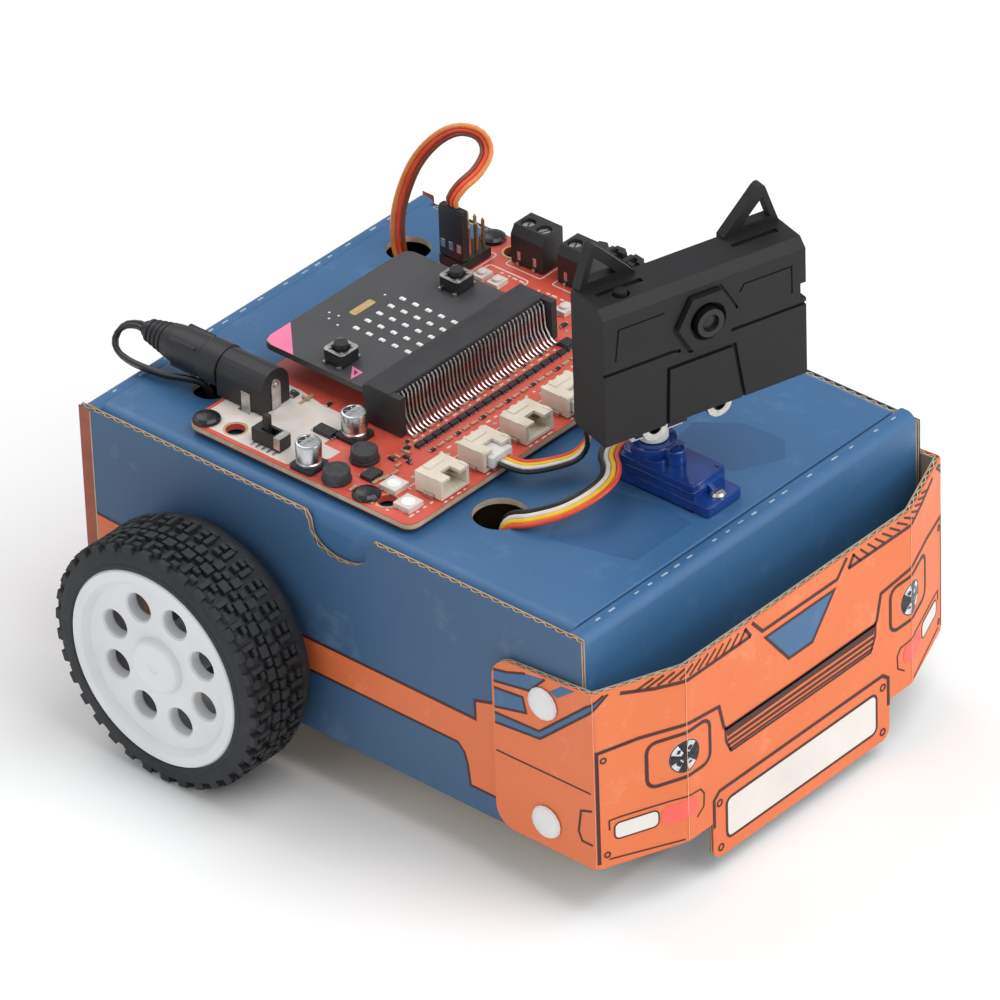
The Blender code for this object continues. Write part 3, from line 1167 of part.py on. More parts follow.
def camera_button(black):
    _, _, front, _ = camera_frame()
    high = CAMERA_BOTTOM + CAMERA_SIZE[2]
    low, top = high - CAMERA_BUTTON_SEAT, high + CAMERA_BUTTON_RISE
    centre = (CAMERA_BUTTON_X, front + CAMERA_BUTTON_BACK, (top + low) / 2)
    button = cylinder(CAMERA_BUTTON_RADIUS, top - low, centre, sides=16)
    finish(place_on_head(button), "camera_button", black, smooth=True)


def hang_on_joints():
    """Gives every moving body an empty on its joint's axis."""
    for side, sign in SIDES:
        place = (sign * WHEEL_INNER_X, AXLE_Y, AXLE_Z)
        pivot(f"wheel_{side}_axis", place, [f"{part}_{side}" for part in WHEEL_PARTS], root)
    pivot("caster_axis", (0, CASTER_Y, BALL_RADIUS), ["caster_ball"], root)
    lid_axis = pivot("lid_axis", (0, INNER_HALF_LENGTH, CARTON_TOP), LID_PARTS, root)
    for letter, sign in (("a", -1), ("b", 1)):
        place = (CONNECTOR_CENTRE[0] + sign * BUTTON_SPACING / 2, BUTTON_Y, CONTROLLER_TOP + TACT_HEIGHT)
        pivot(f"button_{letter}_axis", place, [f"tact_button_{letter}"], lid_axis)
    pivot("switch_axis", (*SWITCH_CENTRE, PART_SEAT), ["slide_switch_knob"], lid_axis)
    pan_axis = pivot("pan_axis", (*SERVO_SHAFT, HORN_BOTTOM), HEAD_PARTS, lid_axis)
    pivot("camera_button_axis", (*SERVO_SHAFT, CAMERA_BOTTOM + CAMERA_SIZE[2]), ["camera_button"], pan_axis)


def build():
    global assembly, cutters, root
    clear_scene()
    assembly = new_collection("line_follower_robot")
    cutters = new_collection("cutters")
    root = new_empty("robot_root", (0, -(HALF_LENGTH + BUMPER_FRONT_Y) / 2, 0))
    blue = material("blue_printed_carton", (0.055, 0.16, 0.33), 0.55)
    orange = material("orange_printed_carton", (0.83, 0.25, 0.09), 0.55)
    white = material("white_nylon", (0.78, 0.78, 0.79), 0.45)
    black = material("black_abs", (0.02, 0.02, 0.022), 0.5)
    rubber = material("tyre_rubber", (0.025, 0.025, 0.026), 0.8)
    yellow = material("yellow_gearbox_abs", (0.75, 0.5, 0.04), 0.45)
    steel = material("nickelled_steel", (0.6, 0.6, 0.6), 0.3, 1.0)
    red_board = material("red_circuit_board", (0.62, 0.08, 0.04), 0.4)
    grey_board = material("grey_circuit_board", (0.055, 0.055, 0.058), 0.5)
    sensor_pcb = material("dark_circuit_board", (0.03, 0.03, 0.035), 0.45)
    cream = material("cream_nylon", (0.72, 0.66, 0.54), 0.5)
    servo_blue = material("clear_blue_abs", (0.02, 0.07, 0.35), 0.15)
    silicone = material("black_silicone", (0.022, 0.022, 0.024), 0.62)
    lens_glass = material("lens_black", (0.008, 0.008, 0.01), 0.12)
    orange_wire = material("orange_pvc_wire", (0.6, 0.18, 0.03), 0.45)
    black_wire = material("black_pvc_wire", (0.015, 0.015, 0.016), 0.45)
    red_wire = material("red_pvc_wire", (0.6, 0.05, 0.02), 0.45)

    carton_tray(blue)
    carton_lid(blue)
    bumper_strip(orange)
    bumper_rivets(white)
    for side, sign in SIDES:
        gear_motor(side, sign, yellow, steel)
        wheel(side, sign, white, rubber)
    caster(black, steel)
    line_sensor(sensor_pcb, white)
    battery_holder(black)
    battery_cells(steel)
    driver_board(red_board)
    board_rivets(black)
    controller(black, grey_board)
    tact_switches(black)
    power_jack(black)
    slide_switch(black)
    ports(cream, white)
    screw_terminals(black)
    servo_header(black)
    servo(servo_blue)
    servo_horn(white)
    camera_bracket(black)
    camera_case(silicone)
    camera_board(sensor_pcb)
    camera_lens(lens_glass)
    camera_button(black)
    cord("servo_lead", SERVO_LEAD, SERVO_LEAD_RADIUS, orange_wire)
    cord("battery_lead", BATTERY_LEAD, BATTERY_LEAD_RADIUS, black_wire)
    cord("camera_ribbon", CAMERA_RIBBON, RIBBON_RADIUS, red_wire)
    cord("sensor_ribbon", SENSOR_RIBBON, RIBBON_RADIUS, red_wire)
    hang_on_joints()


build()
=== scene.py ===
import math
import random

import bmesh
import bpy
from mathutils import Matrix, Vector


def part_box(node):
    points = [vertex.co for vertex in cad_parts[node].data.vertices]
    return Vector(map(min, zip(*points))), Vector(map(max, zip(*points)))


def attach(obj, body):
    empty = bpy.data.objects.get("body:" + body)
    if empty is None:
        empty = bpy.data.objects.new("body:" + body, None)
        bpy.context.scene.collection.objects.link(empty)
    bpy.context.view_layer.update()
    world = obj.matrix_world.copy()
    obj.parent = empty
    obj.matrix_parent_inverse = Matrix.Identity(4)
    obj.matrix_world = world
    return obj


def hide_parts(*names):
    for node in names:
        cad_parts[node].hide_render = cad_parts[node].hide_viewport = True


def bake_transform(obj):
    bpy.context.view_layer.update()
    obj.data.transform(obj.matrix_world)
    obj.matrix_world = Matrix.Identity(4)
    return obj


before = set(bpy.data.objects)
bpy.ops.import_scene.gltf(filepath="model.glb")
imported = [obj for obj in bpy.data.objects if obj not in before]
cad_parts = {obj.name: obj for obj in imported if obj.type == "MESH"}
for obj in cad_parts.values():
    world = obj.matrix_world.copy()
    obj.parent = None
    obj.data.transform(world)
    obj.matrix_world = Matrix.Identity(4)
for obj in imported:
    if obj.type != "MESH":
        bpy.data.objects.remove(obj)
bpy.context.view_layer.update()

scene = bpy.context.scene

# All pieces are drawn in millimetres round the middle of the carton, then carried into the frame.
trayLow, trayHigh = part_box("carton_tray")
trayMiddleY = (trayLow.y + trayHigh.y) / 2
toWorld = Matrix.Translation((0, trayMiddleY, 0)) @ Matrix.Scale(0.001, 4)


def boxMm(node):
    low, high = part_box(node)
    back = toWorld.inverted()
    return back @ Vector(low), back @ Vector(high)


def hexToLinear(text):
    parts = [int(text[i:i + 2], 16) / 255 for i in (1, 3, 5)]
    return tuple(c / 12.92 if c <= 0.04045 else ((c + 0.055) / 1.055) ** 2.4 for c in parts) + (1.0,)


def addNode(tree, kind, settings=None, links=None):
    node = tree.nodes.new(kind)
    for name, value in (settings or {}).items():
        if isinstance(name, int) or name in node.inputs:
            node.inputs[name].default_value = value
        else:
            setattr(node, name, value)
    for name, source in (links or {}).items():
        tree.links.new(source, node.inputs[name])
    return node


def makeMaterial(name, colours, mottleMm, grainMm, depthMm, roughness, shader=None, ridges=None, scuff=None,
                 stretch=(1, 1, 1)):
    # colours: darker, lighter. roughness: least, most. ridges: pitch mm, depth mm, direction.
    # scuff: colour, share from 0 to 1, spot size mm.
    made = bpy.data.materials.new(name)
    made.use_nodes = True
    tree = made.node_tree
    tree.nodes.clear()
    out = addNode(tree, "ShaderNodeOutputMaterial")
    skin = addNode(tree, "ShaderNodeBsdfPrincipled", shader)
    tree.links.new(skin.outputs[0], out.inputs[0])
    place = addNode(tree, "ShaderNodeTexCoord")
    scaled = addNode(tree, "ShaderNodeMapping", {"Scale": stretch}, {"Vector": place.outputs["Object"]})
    mottle = addNode(tree, "ShaderNodeTexNoise", {"Scale": 1000 / mottleMm, "Detail": 3.0},
                     {"Vector": scaled.outputs[0]})
    grain = addNode(tree, "ShaderNodeTexNoise", {"Scale": 1000 / grainMm, "Detail": 2.0},
                    {"Vector": scaled.outputs[0]})
    dark, light = [hexToLinear(c) for c in colours]
    spread = addNode(tree, "ShaderNodeMapRange", {"From Min": 0.3, "From Max": 0.7},
                     {"Value": mottle.outputs[0]})
    paint = addNode(tree, "ShaderNodeMix", {"data_type": "RGBA", 6: dark, 7: light}, {0: spread.outputs[0]})
    colour = paint.outputs[2]
    if scuff:
        spots = addNode(tree, "ShaderNodeTexNoise",
                        {"Scale": 1000 / scuff[2], "Detail": 8.0, "Roughness": 0.7},
                        {"Vector": scaled.outputs[0]})
        worn = addNode(tree, "ShaderNodeMapRange", {"From Min": 0.56, "From Max": 0.72, "To Max": scuff[1]},
                       {"Value": spots.outputs[0]})
        rubbed = addNode(tree, "ShaderNodeMix", {"data_type": "RGBA", 7: hexToLinear(scuff[0])},
                         {0: worn.outputs[0], 6: colour})
        colour = rubbed.outputs[2]
    tree.links.new(colour, skin.inputs["Base Color"])
    gloss = addNode(tree, "ShaderNodeMapRange", {"To Min": roughness[0], "To Max": roughness[1]},
                    {"Value": grain.outputs[0]})
    tree.links.new(gloss.outputs[0], skin.inputs["Roughness"])
    bump = addNode(tree, "ShaderNodeBump", {"Distance": depthMm * 0.001, "Strength": 1.0},
                   {"Height": grain.outputs[0]})
    if ridges:
        # A wave texture repeats every 0.314 / scale metres.
        wave = addNode(tree, "ShaderNodeTexWave", {"Scale": 314 / ridges[0], "bands_direction": ridges[2]},
                       {"Vector": place.outputs["Object"]})
        ribbed = addNode(tree, "ShaderNodeBump", {"Distance": ridges[1] * 0.001},
                         {"Height": wave.outputs[1], "Normal": bump.outputs[0]})
        bump = ribbed
    tree.links.new(bump.outputs[0], skin.inputs["Normal"])
    return made


blueInk = {"top": ("#33608a", "#38658f"), "side": ("#385a7d", "#3c5f83"), "patch_with_painted_shade": ("#2d5680", "#315b86")}
orangeInk = {"face": ("#e0703d", "#e67845"), "line": ("#3c1c16", "#47231b")}

# White-lined test board, offset printed and matt varnished: flat ink, faint flutes under it,
# pale rubbed spots.
printedBlueTop = makeMaterial("printed_blue_lid_board", blueInk["top"], 38, 0.35, 0.006, (0.36, 0.5),
                              {"IOR": 1.5, "Specular IOR Level": 0.5}, (3.2, 0.012, "X"),
                              ("#7ea2c4", 0.16, 9))
printedBlueSide = makeMaterial("printed_blue_side_board", blueInk["side"], 46, 0.35, 0.006, (0.45, 0.6),
                               {"IOR": 1.5}, (3.2, 0.02, "Y"), ("#8b9bae", 0.3, 16))
# Overprinted blue fields beside the servo, darkened further as painted shade for the shadow the servo casts
# on the lid.
printedBluePatchAndShade = makeMaterial("overprinted_blue_ink_with_painted_shade", blueInk["patch_with_painted_shade"], 20, 0.3, 0.004, (0.36, 0.5),
                                {"IOR": 1.5})
printedOrange = makeMaterial("printed_orange_board", orangeInk["face"], 42, 0.35, 0.006, (0.46, 0.6),
                             {"IOR": 1.5}, (3.2, 0.016, "X"), ("#ffb795", 0.25, 8))
lineInk = makeMaterial("printed_dark_line_ink", orangeInk["line"], 9, 0.3, 0.003, (0.5, 0.62), {"IOR": 1.5})
whiteInk = makeMaterial("unprinted_white_liner", ("#dcd7cf", "#e6e2da"), 15, 0.4, 0.004, (0.5, 0.62),
                        {"IOR": 1.5})
redInk = makeMaterial("printed_red_ink", ("#ee5c50", "#f4685c"), 12, 0.3, 0.003, (0.45, 0.6), {"IOR": 1.5})
wornNick = makeMaterial("worn_fold_nick", ("#93a3b2", "#b5c0c9"), 1.5, 0.3, 0.01, (0.55, 0.7), {"IOR": 1.5})
creaseInk = makeMaterial("cracked_ink_crease", ("#eda37f", "#f3b698"), 4, 0.3, 0.004, (0.5, 0.65),
                         {"IOR": 1.5})
# Orange print on the rolled rear wall's end, darkened to brown as painted shade.
edgeOrangeInkPaintedShade = makeMaterial("orange_edge_ink_darkened_as_painted_shade", ("#93452c", "#a9553a"), 6, 0.3, 0.004, (0.5, 0.6),
                            {"IOR": 1.5})
# Silver foil ink: bright facets that pick up the room.
foilInk = makeMaterial("silver_foil_ink", ("#b9bcc0", "#e8eaec"), 1.6, 0.2, 0.004, (0.15, 0.3),
                       {"Metallic": 0.9})
foilDarkInk = makeMaterial("dark_foil_ink", ("#17181b", "#3c3f45"), 1.1, 0.2, 0.004, (0.2, 0.35),
                           {"Metallic": 0.6})
# Kraft liner and fluting, raw: dull, with short fibres in it.
kraftLiner = makeMaterial("raw_kraft_liner", ("#a8937a", "#bca68b"), 7, 0.18, 0.02, (0.8, 0.95),
                          {"IOR": 1.45},
                          (3.2, 0.03, "X"), ("#7d6650", 0.35, 1.2))
kraftEdge = makeMaterial("cut_kraft_edge", ("#bfae96", "#d3c6b1"), 2.5, 0.15, 0.03, (0.85, 0.95),
                         {"IOR": 1.45},
                         None, ("#7a6a58", 0.6, 0.9))
fluteBrown = makeMaterial("kraft_fluting", ("#b39c7e", "#c9b497"), 3, 0.15, 0.02, (0.85, 0.95),
                          {"IOR": 1.45})


def recalcNormals(bm):
    bmesh.ops.recalc_face_normals(bm, faces=bm.faces[:])


def makePiece(name, bm, materials, body, slot, replaces=(), matrix=None, bevelMm=0.0, smoothDegrees=35):
    recalcNormals(bm)
    mesh = bpy.data.meshes.new(name)
    bm.to_mesh(mesh)
    bm.free()
    mesh.transform(matrix or toWorld)
    for made in materials:
        mesh.materials.append(made)
    obj = bpy.data.objects.new(name, mesh)
    scene.collection.objects.link(obj)
    mesh.shade_smooth()
    mesh.set_sharp_from_angle(angle=math.radians(smoothDegrees))
    if bevelMm:
        soft = obj.modifiers.new("softEdges", "BEVEL")
        soft.width = bevelMm * 0.001
        soft.segments = 2
        soft.limit_method = "ANGLE"
        soft.angle_limit = math.radians(40)
        soft.harden_normals = True
    if body:
        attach(obj, body)
    if replaces:
        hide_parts(*replaces)
    return obj


def applyModifiers(obj):
    bpy.context.view_layer.update()
    graph = bpy.context.evaluated_depsgraph_get()
    mesh = bpy.data.meshes.new_from_object(obj.evaluated_get(graph))
    obj.modifiers.clear()
    obj.data = mesh


def combine(obj, bm, operation="DIFFERENCE", skin=None, matrix=None):
    # Cuts the bmesh from obj, or joins it on, exactly. The new faces take the skin, if there is one.
    recalcNormals(bm)
    mesh = bpy.data.meshes.new("tool")
    bm.to_mesh(mesh)
    bm.free()
    mesh.transform(matrix or toWorld)
    if skin:
        mesh.materials.append(skin)
    tool = bpy.data.objects.new("tool", mesh)
    scene.collection.objects.link(tool)
    change = obj.modifiers.new("combine", "BOOLEAN")
    change.object = tool
    change.operation = operation
    change.solver = "EXACT"
    change.material_mode = "TRANSFER" if skin else "INDEX"
    applyModifiers(obj)
    bpy.data.objects.remove(tool, do_unlink=True)


def paintFaces(faces, index):
    for face in faces:
        face.material_index = index


def addBox(bm, low, high, index=0):
    size = [b - a for a, b in zip(low, high)]
    middle = [(a + b) / 2 for a, b in zip(low, high)]
    matrix = Matrix.Translation(middle) @ Matrix.Diagonal((*size, 1.0))
    made = bmesh.ops.create_cube(bm, size=1.0, matrix=matrix)
    paintFaces({f for v in made["verts"] for f in v.link_faces}, index)


axisOrder = {"x": (2, 0, 1), "y": (0, 2, 1), "z": (0, 1, 2)}


def toAxis(a, b, along, axis):
    # The outline's two values and the place along the axis, as x, y, z.
    values = (a, b, along)
    return tuple(values[i] for i in axisOrder[axis])


def addPrism(bm, outline, axis, low, high, index=0, sideIndex=None):
    bottom = [bm.verts.new(toAxis(a, b, low, axis)) for a, b in outline]
    top = [bm.verts.new(toAxis(a, b, high, axis)) for a, b in outline]
    caps = [bm.faces.new(bottom), bm.faces.new(top)]
    count = len(outline)
    sides = [bm.faces.new((bottom[i], bottom[(i + 1) % count], top[(i + 1) % count],
                           top[i])) for i in range(count)]
    paintFaces(caps, index)
    paintFaces(sides, index if sideIndex is None else sideIndex)


def axisMatrix(centre, axis):
    return Matrix.Translation(centre) @ Vector((0, 0,
                                                1)).rotation_difference(Vector(axis)).to_matrix().to_4x4()


def addTurned(bm, profile, centre, axis=(0, 0, 1), steps=32, index=0, closed=False):
    # profile: radius and height pairs. A radius of nought is one point on the axis.
    matrix = axisMatrix(centre, axis)
    rings = []
    for radius, height in profile:
        if radius == 0:
            rings.append([bm.verts.new(matrix @ Vector((0, 0, height)))])
            continue
        angles = [2 * math.pi * i / steps for i in range(steps)]
        rings.append([bm.verts.new(matrix @ Vector((radius * math.cos(a), radius * math.sin(a), height)))
                      for a in angles])
    pairs = list(zip(rings, rings[1:]))
    if closed:
        pairs.append((rings[-1], rings[0]))
    faces = []
    for one, two in pairs:
        for i in range(steps):
            j = (i + 1) % steps
            corners = [one[i % len(one)], one[j % len(one)], two[j % len(two)], two[i % len(two)]]
            corners = list(dict.fromkeys(corners))
            if len(corners) > 2:
                faces.append(bm.faces.new(corners))
    if not closed:
        for ring in (rings[0], rings[-1]):
            if len(ring) > 1:
                faces.append(bm.faces.new(ring))
    paintFaces(faces, index)


def addCylinder(bm, centre, radius, low, high, axis=(0, 0, 1), steps=24, index=0, chamfer=0.0):
    profile = [(radius - chamfer, low), (radius, low + chamfer), (radius, high - chamfer),
               (radius - chamfer, high)]
    if not chamfer:
        profile = [(radius, low), (radius, high)]
    addTurned(bm, profile, centre, axis, steps, index)


def arcPoints(centre, radius, start, end, steps=8):
    angles = [math.radians(start + (end - start) * i / steps) for i in range(steps + 1)]
    return [(centre[0] + radius * math.cos(a), centre[1] + radius * math.sin(a)) for a in angles]


def roundRect(low, high, radius, steps=4):
    corners = ((high[0] - radius, low[1] + radius, -90), (high[0] - radius, high[1] - radius, 0),
               (low[0] + radius, high[1] - radius, 90), (low[0] + radius, low[1] + radius, 180))
    return [p for x, y, a in corners for p in arcPoints((x, y), radius, a, a + 90, steps)]


def disc(centre, radius, steps=24):
    return arcPoints(centre, radius, 0, 360 - 360 / steps, steps - 1)


def smoothLine(points, spacing):
    # A Catmull-Rom curve through the points, read at an even spacing.
    points = [Vector(p) for p in points]
    ends = [2 * points[0] - points[1]] + points + [2 * points[-1] - points[-2]]
    fine = []
    for a, b, c, d in zip(ends, ends[1:], ends[2:], ends[3:]):
        for step in range(12):
            t = step / 12
            fine.append(0.5 * (2 * b + (c - a) * t + (2 * a - 5 * b + 4 * c - d) * t * t
                               + (3 * b - a - 3 * c + d) * t ** 3))
    fine.append(points[-1])
    run = [0.0]
    for a, b in zip(fine, fine[1:]):
        run.append(run[-1] + (b - a).length)
    count = max(2, round(run[-1] / spacing))
    line, at = [], 0
    for i in range(count + 1):
        want = run[-1] * i / count
        while at < len(run) - 2 and run[at + 1] < want:
            at += 1
        share = (want - run[at]) / max(run[at + 1] - run[at], 1e-9)
        line.append(fine[at].lerp(fine[at + 1], min(1.0, share)))
    return line


def addTube(bm, line, radius, sides=10, index=0):
    rings = []
    across = None
    for i, point in enumerate(line):
        along = (line[min(i + 1, len(line) - 1)] - line[max(i - 1, 0)]).normalized()
        if across is None:
            across = along.orthogonal().normalized()
        across = (across - along * across.dot(along)).normalized()
        other = along.cross(across)
        size = radius(i / (len(line) - 1)) if callable(radius) else radius
        rings.append([bm.verts.new(point + size * (math.cos(2 * math.pi * k / sides) * across
                                                   + math.sin(2 * math.pi * k / sides) * other))
                      for k in range(sides)])
    faces = [bm.faces.new((a[k], a[(k + 1) % sides], b[(k + 1) % sides], b[k]))
             for a, b in zip(rings, rings[1:]) for k in range(sides)]
    faces += [bm.faces.new(rings[0]), bm.faces.new(rings[-1])]
    paintFaces(faces, index)


def strokeSides(points, width, closed=False):
    # The two edges of a pen line, mitred at its corners.
    points = [Vector(p) for p in points]
    left, right = [], []
    count = len(points)
    for i, point in enumerate(points):
        before = points[i - 1] if closed or i else None
        after = points[(i + 1) % count] if closed or i < count - 1 else None
        one = (point - before).normalized() if before is not None else (after - point).normalized()
        two = (after - point).normalized() if after is not None else one
        normal = Vector((-(one + two).y, (one + two).x)).normalized()
        reach = width / 2 / max(0.5, normal.dot(Vector((-one.y, one.x))))
        left.append(point + normal * reach)
        right.append(point - normal * reach)
    return left, right


def addStroke(bm, points, width, axis, low, high, closed=False, index=0):
    # A pen line with a thickness: drawn across the axis, from low to high along it.
    left, right = strokeSides(points, width, closed)
    rows = [[bm.verts.new(toAxis(p.x, p.y, level, axis)) for p in side] for side, level in
            ((left, low), (left, high), (right, high), (right, low))]
    count = len(left)
    faces = []
    for i in range(count if closed else count - 1):
        j = (i + 1) % count
        for one, two in zip(rows, rows[1:] + rows[:1]):
            faces.append(bm.faces.new((one[i], one[j], two[j], two[i])))
    if not closed:
        faces += [bm.faces.new([row[0] for row in rows]), bm.faces.new([row[-1] for row in rows])]
    paintFaces(faces, index)


def addInk(bm, shape, lift, index):
    # shape: {"fill": outline} or {"line": points, "width": mm, "closed": bool}
    low = lift - inkMm
    if "fill" in shape:
        addPrism(bm, shape["fill"], "y", low, lift, index)
    else:
        addStroke(bm, shape["line"], shape["width"], "y", low, lift, shape.get("closed", False), index)


# Ink film's thickness, and how far the first ink and each later one stand off the board.
inkMm = 0.06
inkLift = (0.05, 0.02)


def mirrored(shape):
    turned = dict(shape)
    for key in ("fill", "line"):
        if key in turned:
            turned[key] = [(-a, b) for a, b in turned[key]]
    return turned


def makeArt(name, shapes, inks, place, body, slot, folds=(), matrix=None):
    # shapes: (ink number, shape). A later ink lies over an earlier one.
    # place turns a, lift, b into x, y, z.
    bm = bmesh.new()
    for ink, shape in shapes:
        addInk(bm, shape, inkLift[0] + inkLift[1] * ink, ink)
    for fold in folds:
        geometry = bm.verts[:] + bm.edges[:] + bm.faces[:]
        bmesh.ops.bisect_plane(bm, geom=geometry, plane_co=(fold, 0, 0), plane_no=(1, 0, 0))
    for vert in bm.verts:
        vert.co = place(*vert.co)
    return makePiece(name, bm, inks, body, slot, matrix=matrix, smoothDegrees=20)


# ---- Camera, light and floor
view = {"azimuth": -47.45, "elevation": 33.99, "roll": -2.11, "distance": 2136.3,
        "target": (4.9, 4.9, 45.0),
        "lens": 324.0, "sensor": 36.0}
print("stage: camera and studio")


def lookFrom(azimuth, elevation):
    a, e = math.radians(azimuth), math.radians(elevation)
    return Vector((math.sin(a) * math.cos(e), -math.cos(a) * math.cos(e), math.sin(e)))


def placeCamera():
    back = lookFrom(view["azimuth"], view["elevation"])
    right = Vector((0, 0, 1)).cross(back).normalized()
    up = back.cross(right)
    roll = math.radians(view["roll"])
    tilted = math.cos(roll) * right + math.sin(roll) * up
    top = math.cos(roll) * up - math.sin(roll) * right
    data = bpy.data.cameras.new("studio_camera")
    data.lens = view["lens"]
    data.sensor_width = view["sensor"]
    data.clip_end = 20
    camera = bpy.data.objects.new("studio_camera", data)
    scene.collection.objects.link(camera)
    turn = Matrix((tilted, top, back)).transposed().to_4x4()
    spot = toWorld @ (Vector(view["target"]) + back * view["distance"])
    camera.matrix_world = Matrix.Translation(spot) @ turn
    scene.camera = camera


studio = {"worldStrength": 0.5, "worldColour": "#f4f7fb", "floorColour": "#f3f3f2", "floorSize": 12.0}
lamps = (
    # name, direction it shines from (azimuth, elevation), distance m, size m, power W
    ("key_softbox", (12, 62), 1.3, 1.1, 9.5),
    ("front_softbox", (20, 22), 1.6, 1.0, 7.5),
    ("left_softbox", (-100, 30), 1.6, 1.2, 4.0),
    ("rear_softbox", (170, 50), 1.5, 1.2, 6.0),
)


def lightStudio():
    world = bpy.data.worlds.new("studio_air")
    scene.world = world
    world.use_nodes = True
    air = world.node_tree.nodes["Background"]
    air.inputs[0].default_value = hexToLinear(studio["worldColour"])
    air.inputs[1].default_value = studio["worldStrength"]
    for name, (azimuth, elevation), distance, size, power in lamps:
        data = bpy.data.lights.new(name, "AREA")
        data.shape = "DISK"
        data.size = size
        data.energy = power
        lamp = bpy.data.objects.new(name, data)
        direction = lookFrom(azimuth, elevation)
        lamp.location = toWorld @ Vector(view["target"]) + direction * distance
        lamp.rotation_euler = direction.to_track_quat("Z", "Y").to_euler()
        scene.collection.objects.link(lamp)
    half = studio["floorSize"] / 2
    bm = bmesh.new()
    bmesh.ops.create_grid(bm, x_segments=1, y_segments=1, size=half)
    mesh = bpy.data.meshes.new("studio_floor")
    bm.to_mesh(mesh)
    bm.free()
    floor = bpy.data.objects.new("studio_floor", mesh)
    scene.collection.objects.link(floor)
    paper = makeMaterial("backdrop_paper", ("#f6f6f5", "#f9f9f8"), 300, 1.5, 0.02, (0.8, 0.9))
    mesh.materials.append(paper)
    scene.view_settings.view_transform = "Standard"
    scene.view_settings.look = "None"


placeCamera()
lightStudio()

# ---- Cords: each lead is its real coloured wires side by side
print("stage: cords")
# PVC hook-up wire, extruded: even colour, soft gloss, faint drag lines along it.
wireGloss = {"IOR": 1.53, "Coat Weight": 0.1}
wireMaterials = {
    "brown": makeMaterial("brown_pvc_wire", ("#7a3c22", "#8a4628"), 4, 0.3, 0.01, (0.3, 0.45), wireGloss),
    "red": makeMaterial("red_pvc_wire", ("#dd4326", "#ea5433"), 4, 0.3, 0.01, (0.3, 0.45), wireGloss),
    "orange": makeMaterial("orange_pvc_wire", ("#d97e3e", "#e88f4c"), 4, 0.3, 0.01, (0.3, 0.45), wireGloss),
    "yellow": makeMaterial("yellow_pvc_wire", ("#eebc14", "#f8cf2c"), 4, 0.3, 0.01, (0.3, 0.45), wireGloss),
    "white": makeMaterial("white_pvc_wire", ("#dcd8d0", "#eae7e0"), 4, 0.3, 0.01, (0.3, 0.45), wireGloss),
    "black": makeMaterial("black_pvc_wire", ("#141414", "#1e1e1f"), 4, 0.3, 0.01, (0.3, 0.45), wireGloss),
}
cordSpecs = {
    "servo_lead": {
        "wires": ("orange", "red", "brown"), "pitch": 1.25, "radius": 0.62, "side": ((0, 1, 0), (1, 0, 0)),
        "slot": "servo_lead_pvc", "route": (
            (35.99, 45.3, 96.4), (36.1, 45.3, 98.4), (38.4, 44.3, 101.2), (43.0, 43.2, 103.6),
            (47.0, 43.6, 107.0), (47.2, 46.2, 110.6), (44.6, 50.8, 111.4), (42.0, 56.0, 107.4),
            (39.6, 60.6, 100.0), (37.6, 63.6, 90.0), (36.8, 64.4, 82.0), (37.0, 64.0, 75.0),
            (36.0, 60.0, 69.0), (30.0, 46.0, 65.4), (20.0, 20.0, 64.4), (10.0, -10.0, 63.8),
            (3.0, -30.0, 63.2), (1.2, -37.0, 63.0), (1.0, -40.9, 63.0))},
    "battery_lead": {
        "wires": ("black", "black"), "pitch": 1.5, "radius": 0.75, "side": ((1, 0, 0), (1, 0, 0)),
        "slot": "power_lead_pvc", "route": (
            (-36.3, 79.3, 84.6), (-36.5, 81.6, 84.6), (-37.8, 84.6, 83.6), (-39.8, 85.6, 81.0),
            (-41.4, 83.6, 78.9), (-42.0, 79.0, 78.0), (-41.8, 73.0, 78.0), (-41.0, 67.4, 78.2),
            (-39.2, 62.4, 78.4), (-37.4, 59.4, 77.2), (-36.6, 58.2, 73.6), (-36.0, 56.6, 66.0),
            (-33.6, 50.0, 54.0), (-27.0, 34.0, 40.0), (-18.0, 14.0, 30.0), (-13.0, 1.0, 26.0),
            (-12.0, -5.4, 23.4), (-12.0, -8.0, 23.4)),
        "blend": ("lid", "chassis", 10, 17)},
    "camera_ribbon": {
        "wires": ("black", "white", "yellow", "red"), "pitch": 1.25, "radius": 0.62,
        "side": ((1, 0, 0), (0.96, -0.28, 0)), "slot": "ribbon_pvc", "route": (
            (-21.8, -21.3, 81.3), (-21.6, -23.2, 81.2), (-19.6, -26.0, 80.2), (-15.0, -29.2, 79.9),
            (-9.6, -32.2, 80.4), (-7.6, -34.2, 83.4), (-8.6, -36.2, 88.0), (-11.2, -37.8, 95.0),
            (-12.4, -38.6, 102.0), (-12.4, -39.6, 107.6), (-12.6, -41.6, 109.8), (-12.7, -44.2, 110.1)),
        "blend": ("lid", "camera_head", 4, 10)},
    "sensor_ribbon": {
        "wires": ("black", "white", "yellow", "red"), "pitch": 1.25, "radius": 0.62,
        "side": ((1, 0, 0), (0, 1, 0)), "slot": "ribbon_pvc", "route": (
            (7.8, -21.3, 81.3), (7.8, -23.6, 81.6), (7.6, -28.0, 82.0), (5.0, -33.6, 82.0),
            (1.0, -37.2, 82.4), (-4.4, -39.2, 83.0), (-8.4, -41.8, 83.6), (-11.4, -45.2, 84.0),
            (-15.4, -47.6, 83.6), (-21.6, -47.6, 82.6), (-28.2, -44.8, 80.8), (-33.2, -39.4, 78.8),
            (-34.6, -33.6, 76.2), (-35.0, -31.6, 71.0), (-37.6, -36.0, 62.0), (-41.0, -48.0, 46.0),
            (-41.0, -60.0, 30.0), (-38.6, -65.4, 20.0), (-37.2, -66.6, 13.4), (-35.4, -68.2, 10.8),
            (-31.6, -69.0, 10.4), (-29.6, -69.0, 10.4)),
        "blend": ("lid", "chassis", 13, 19)},
}


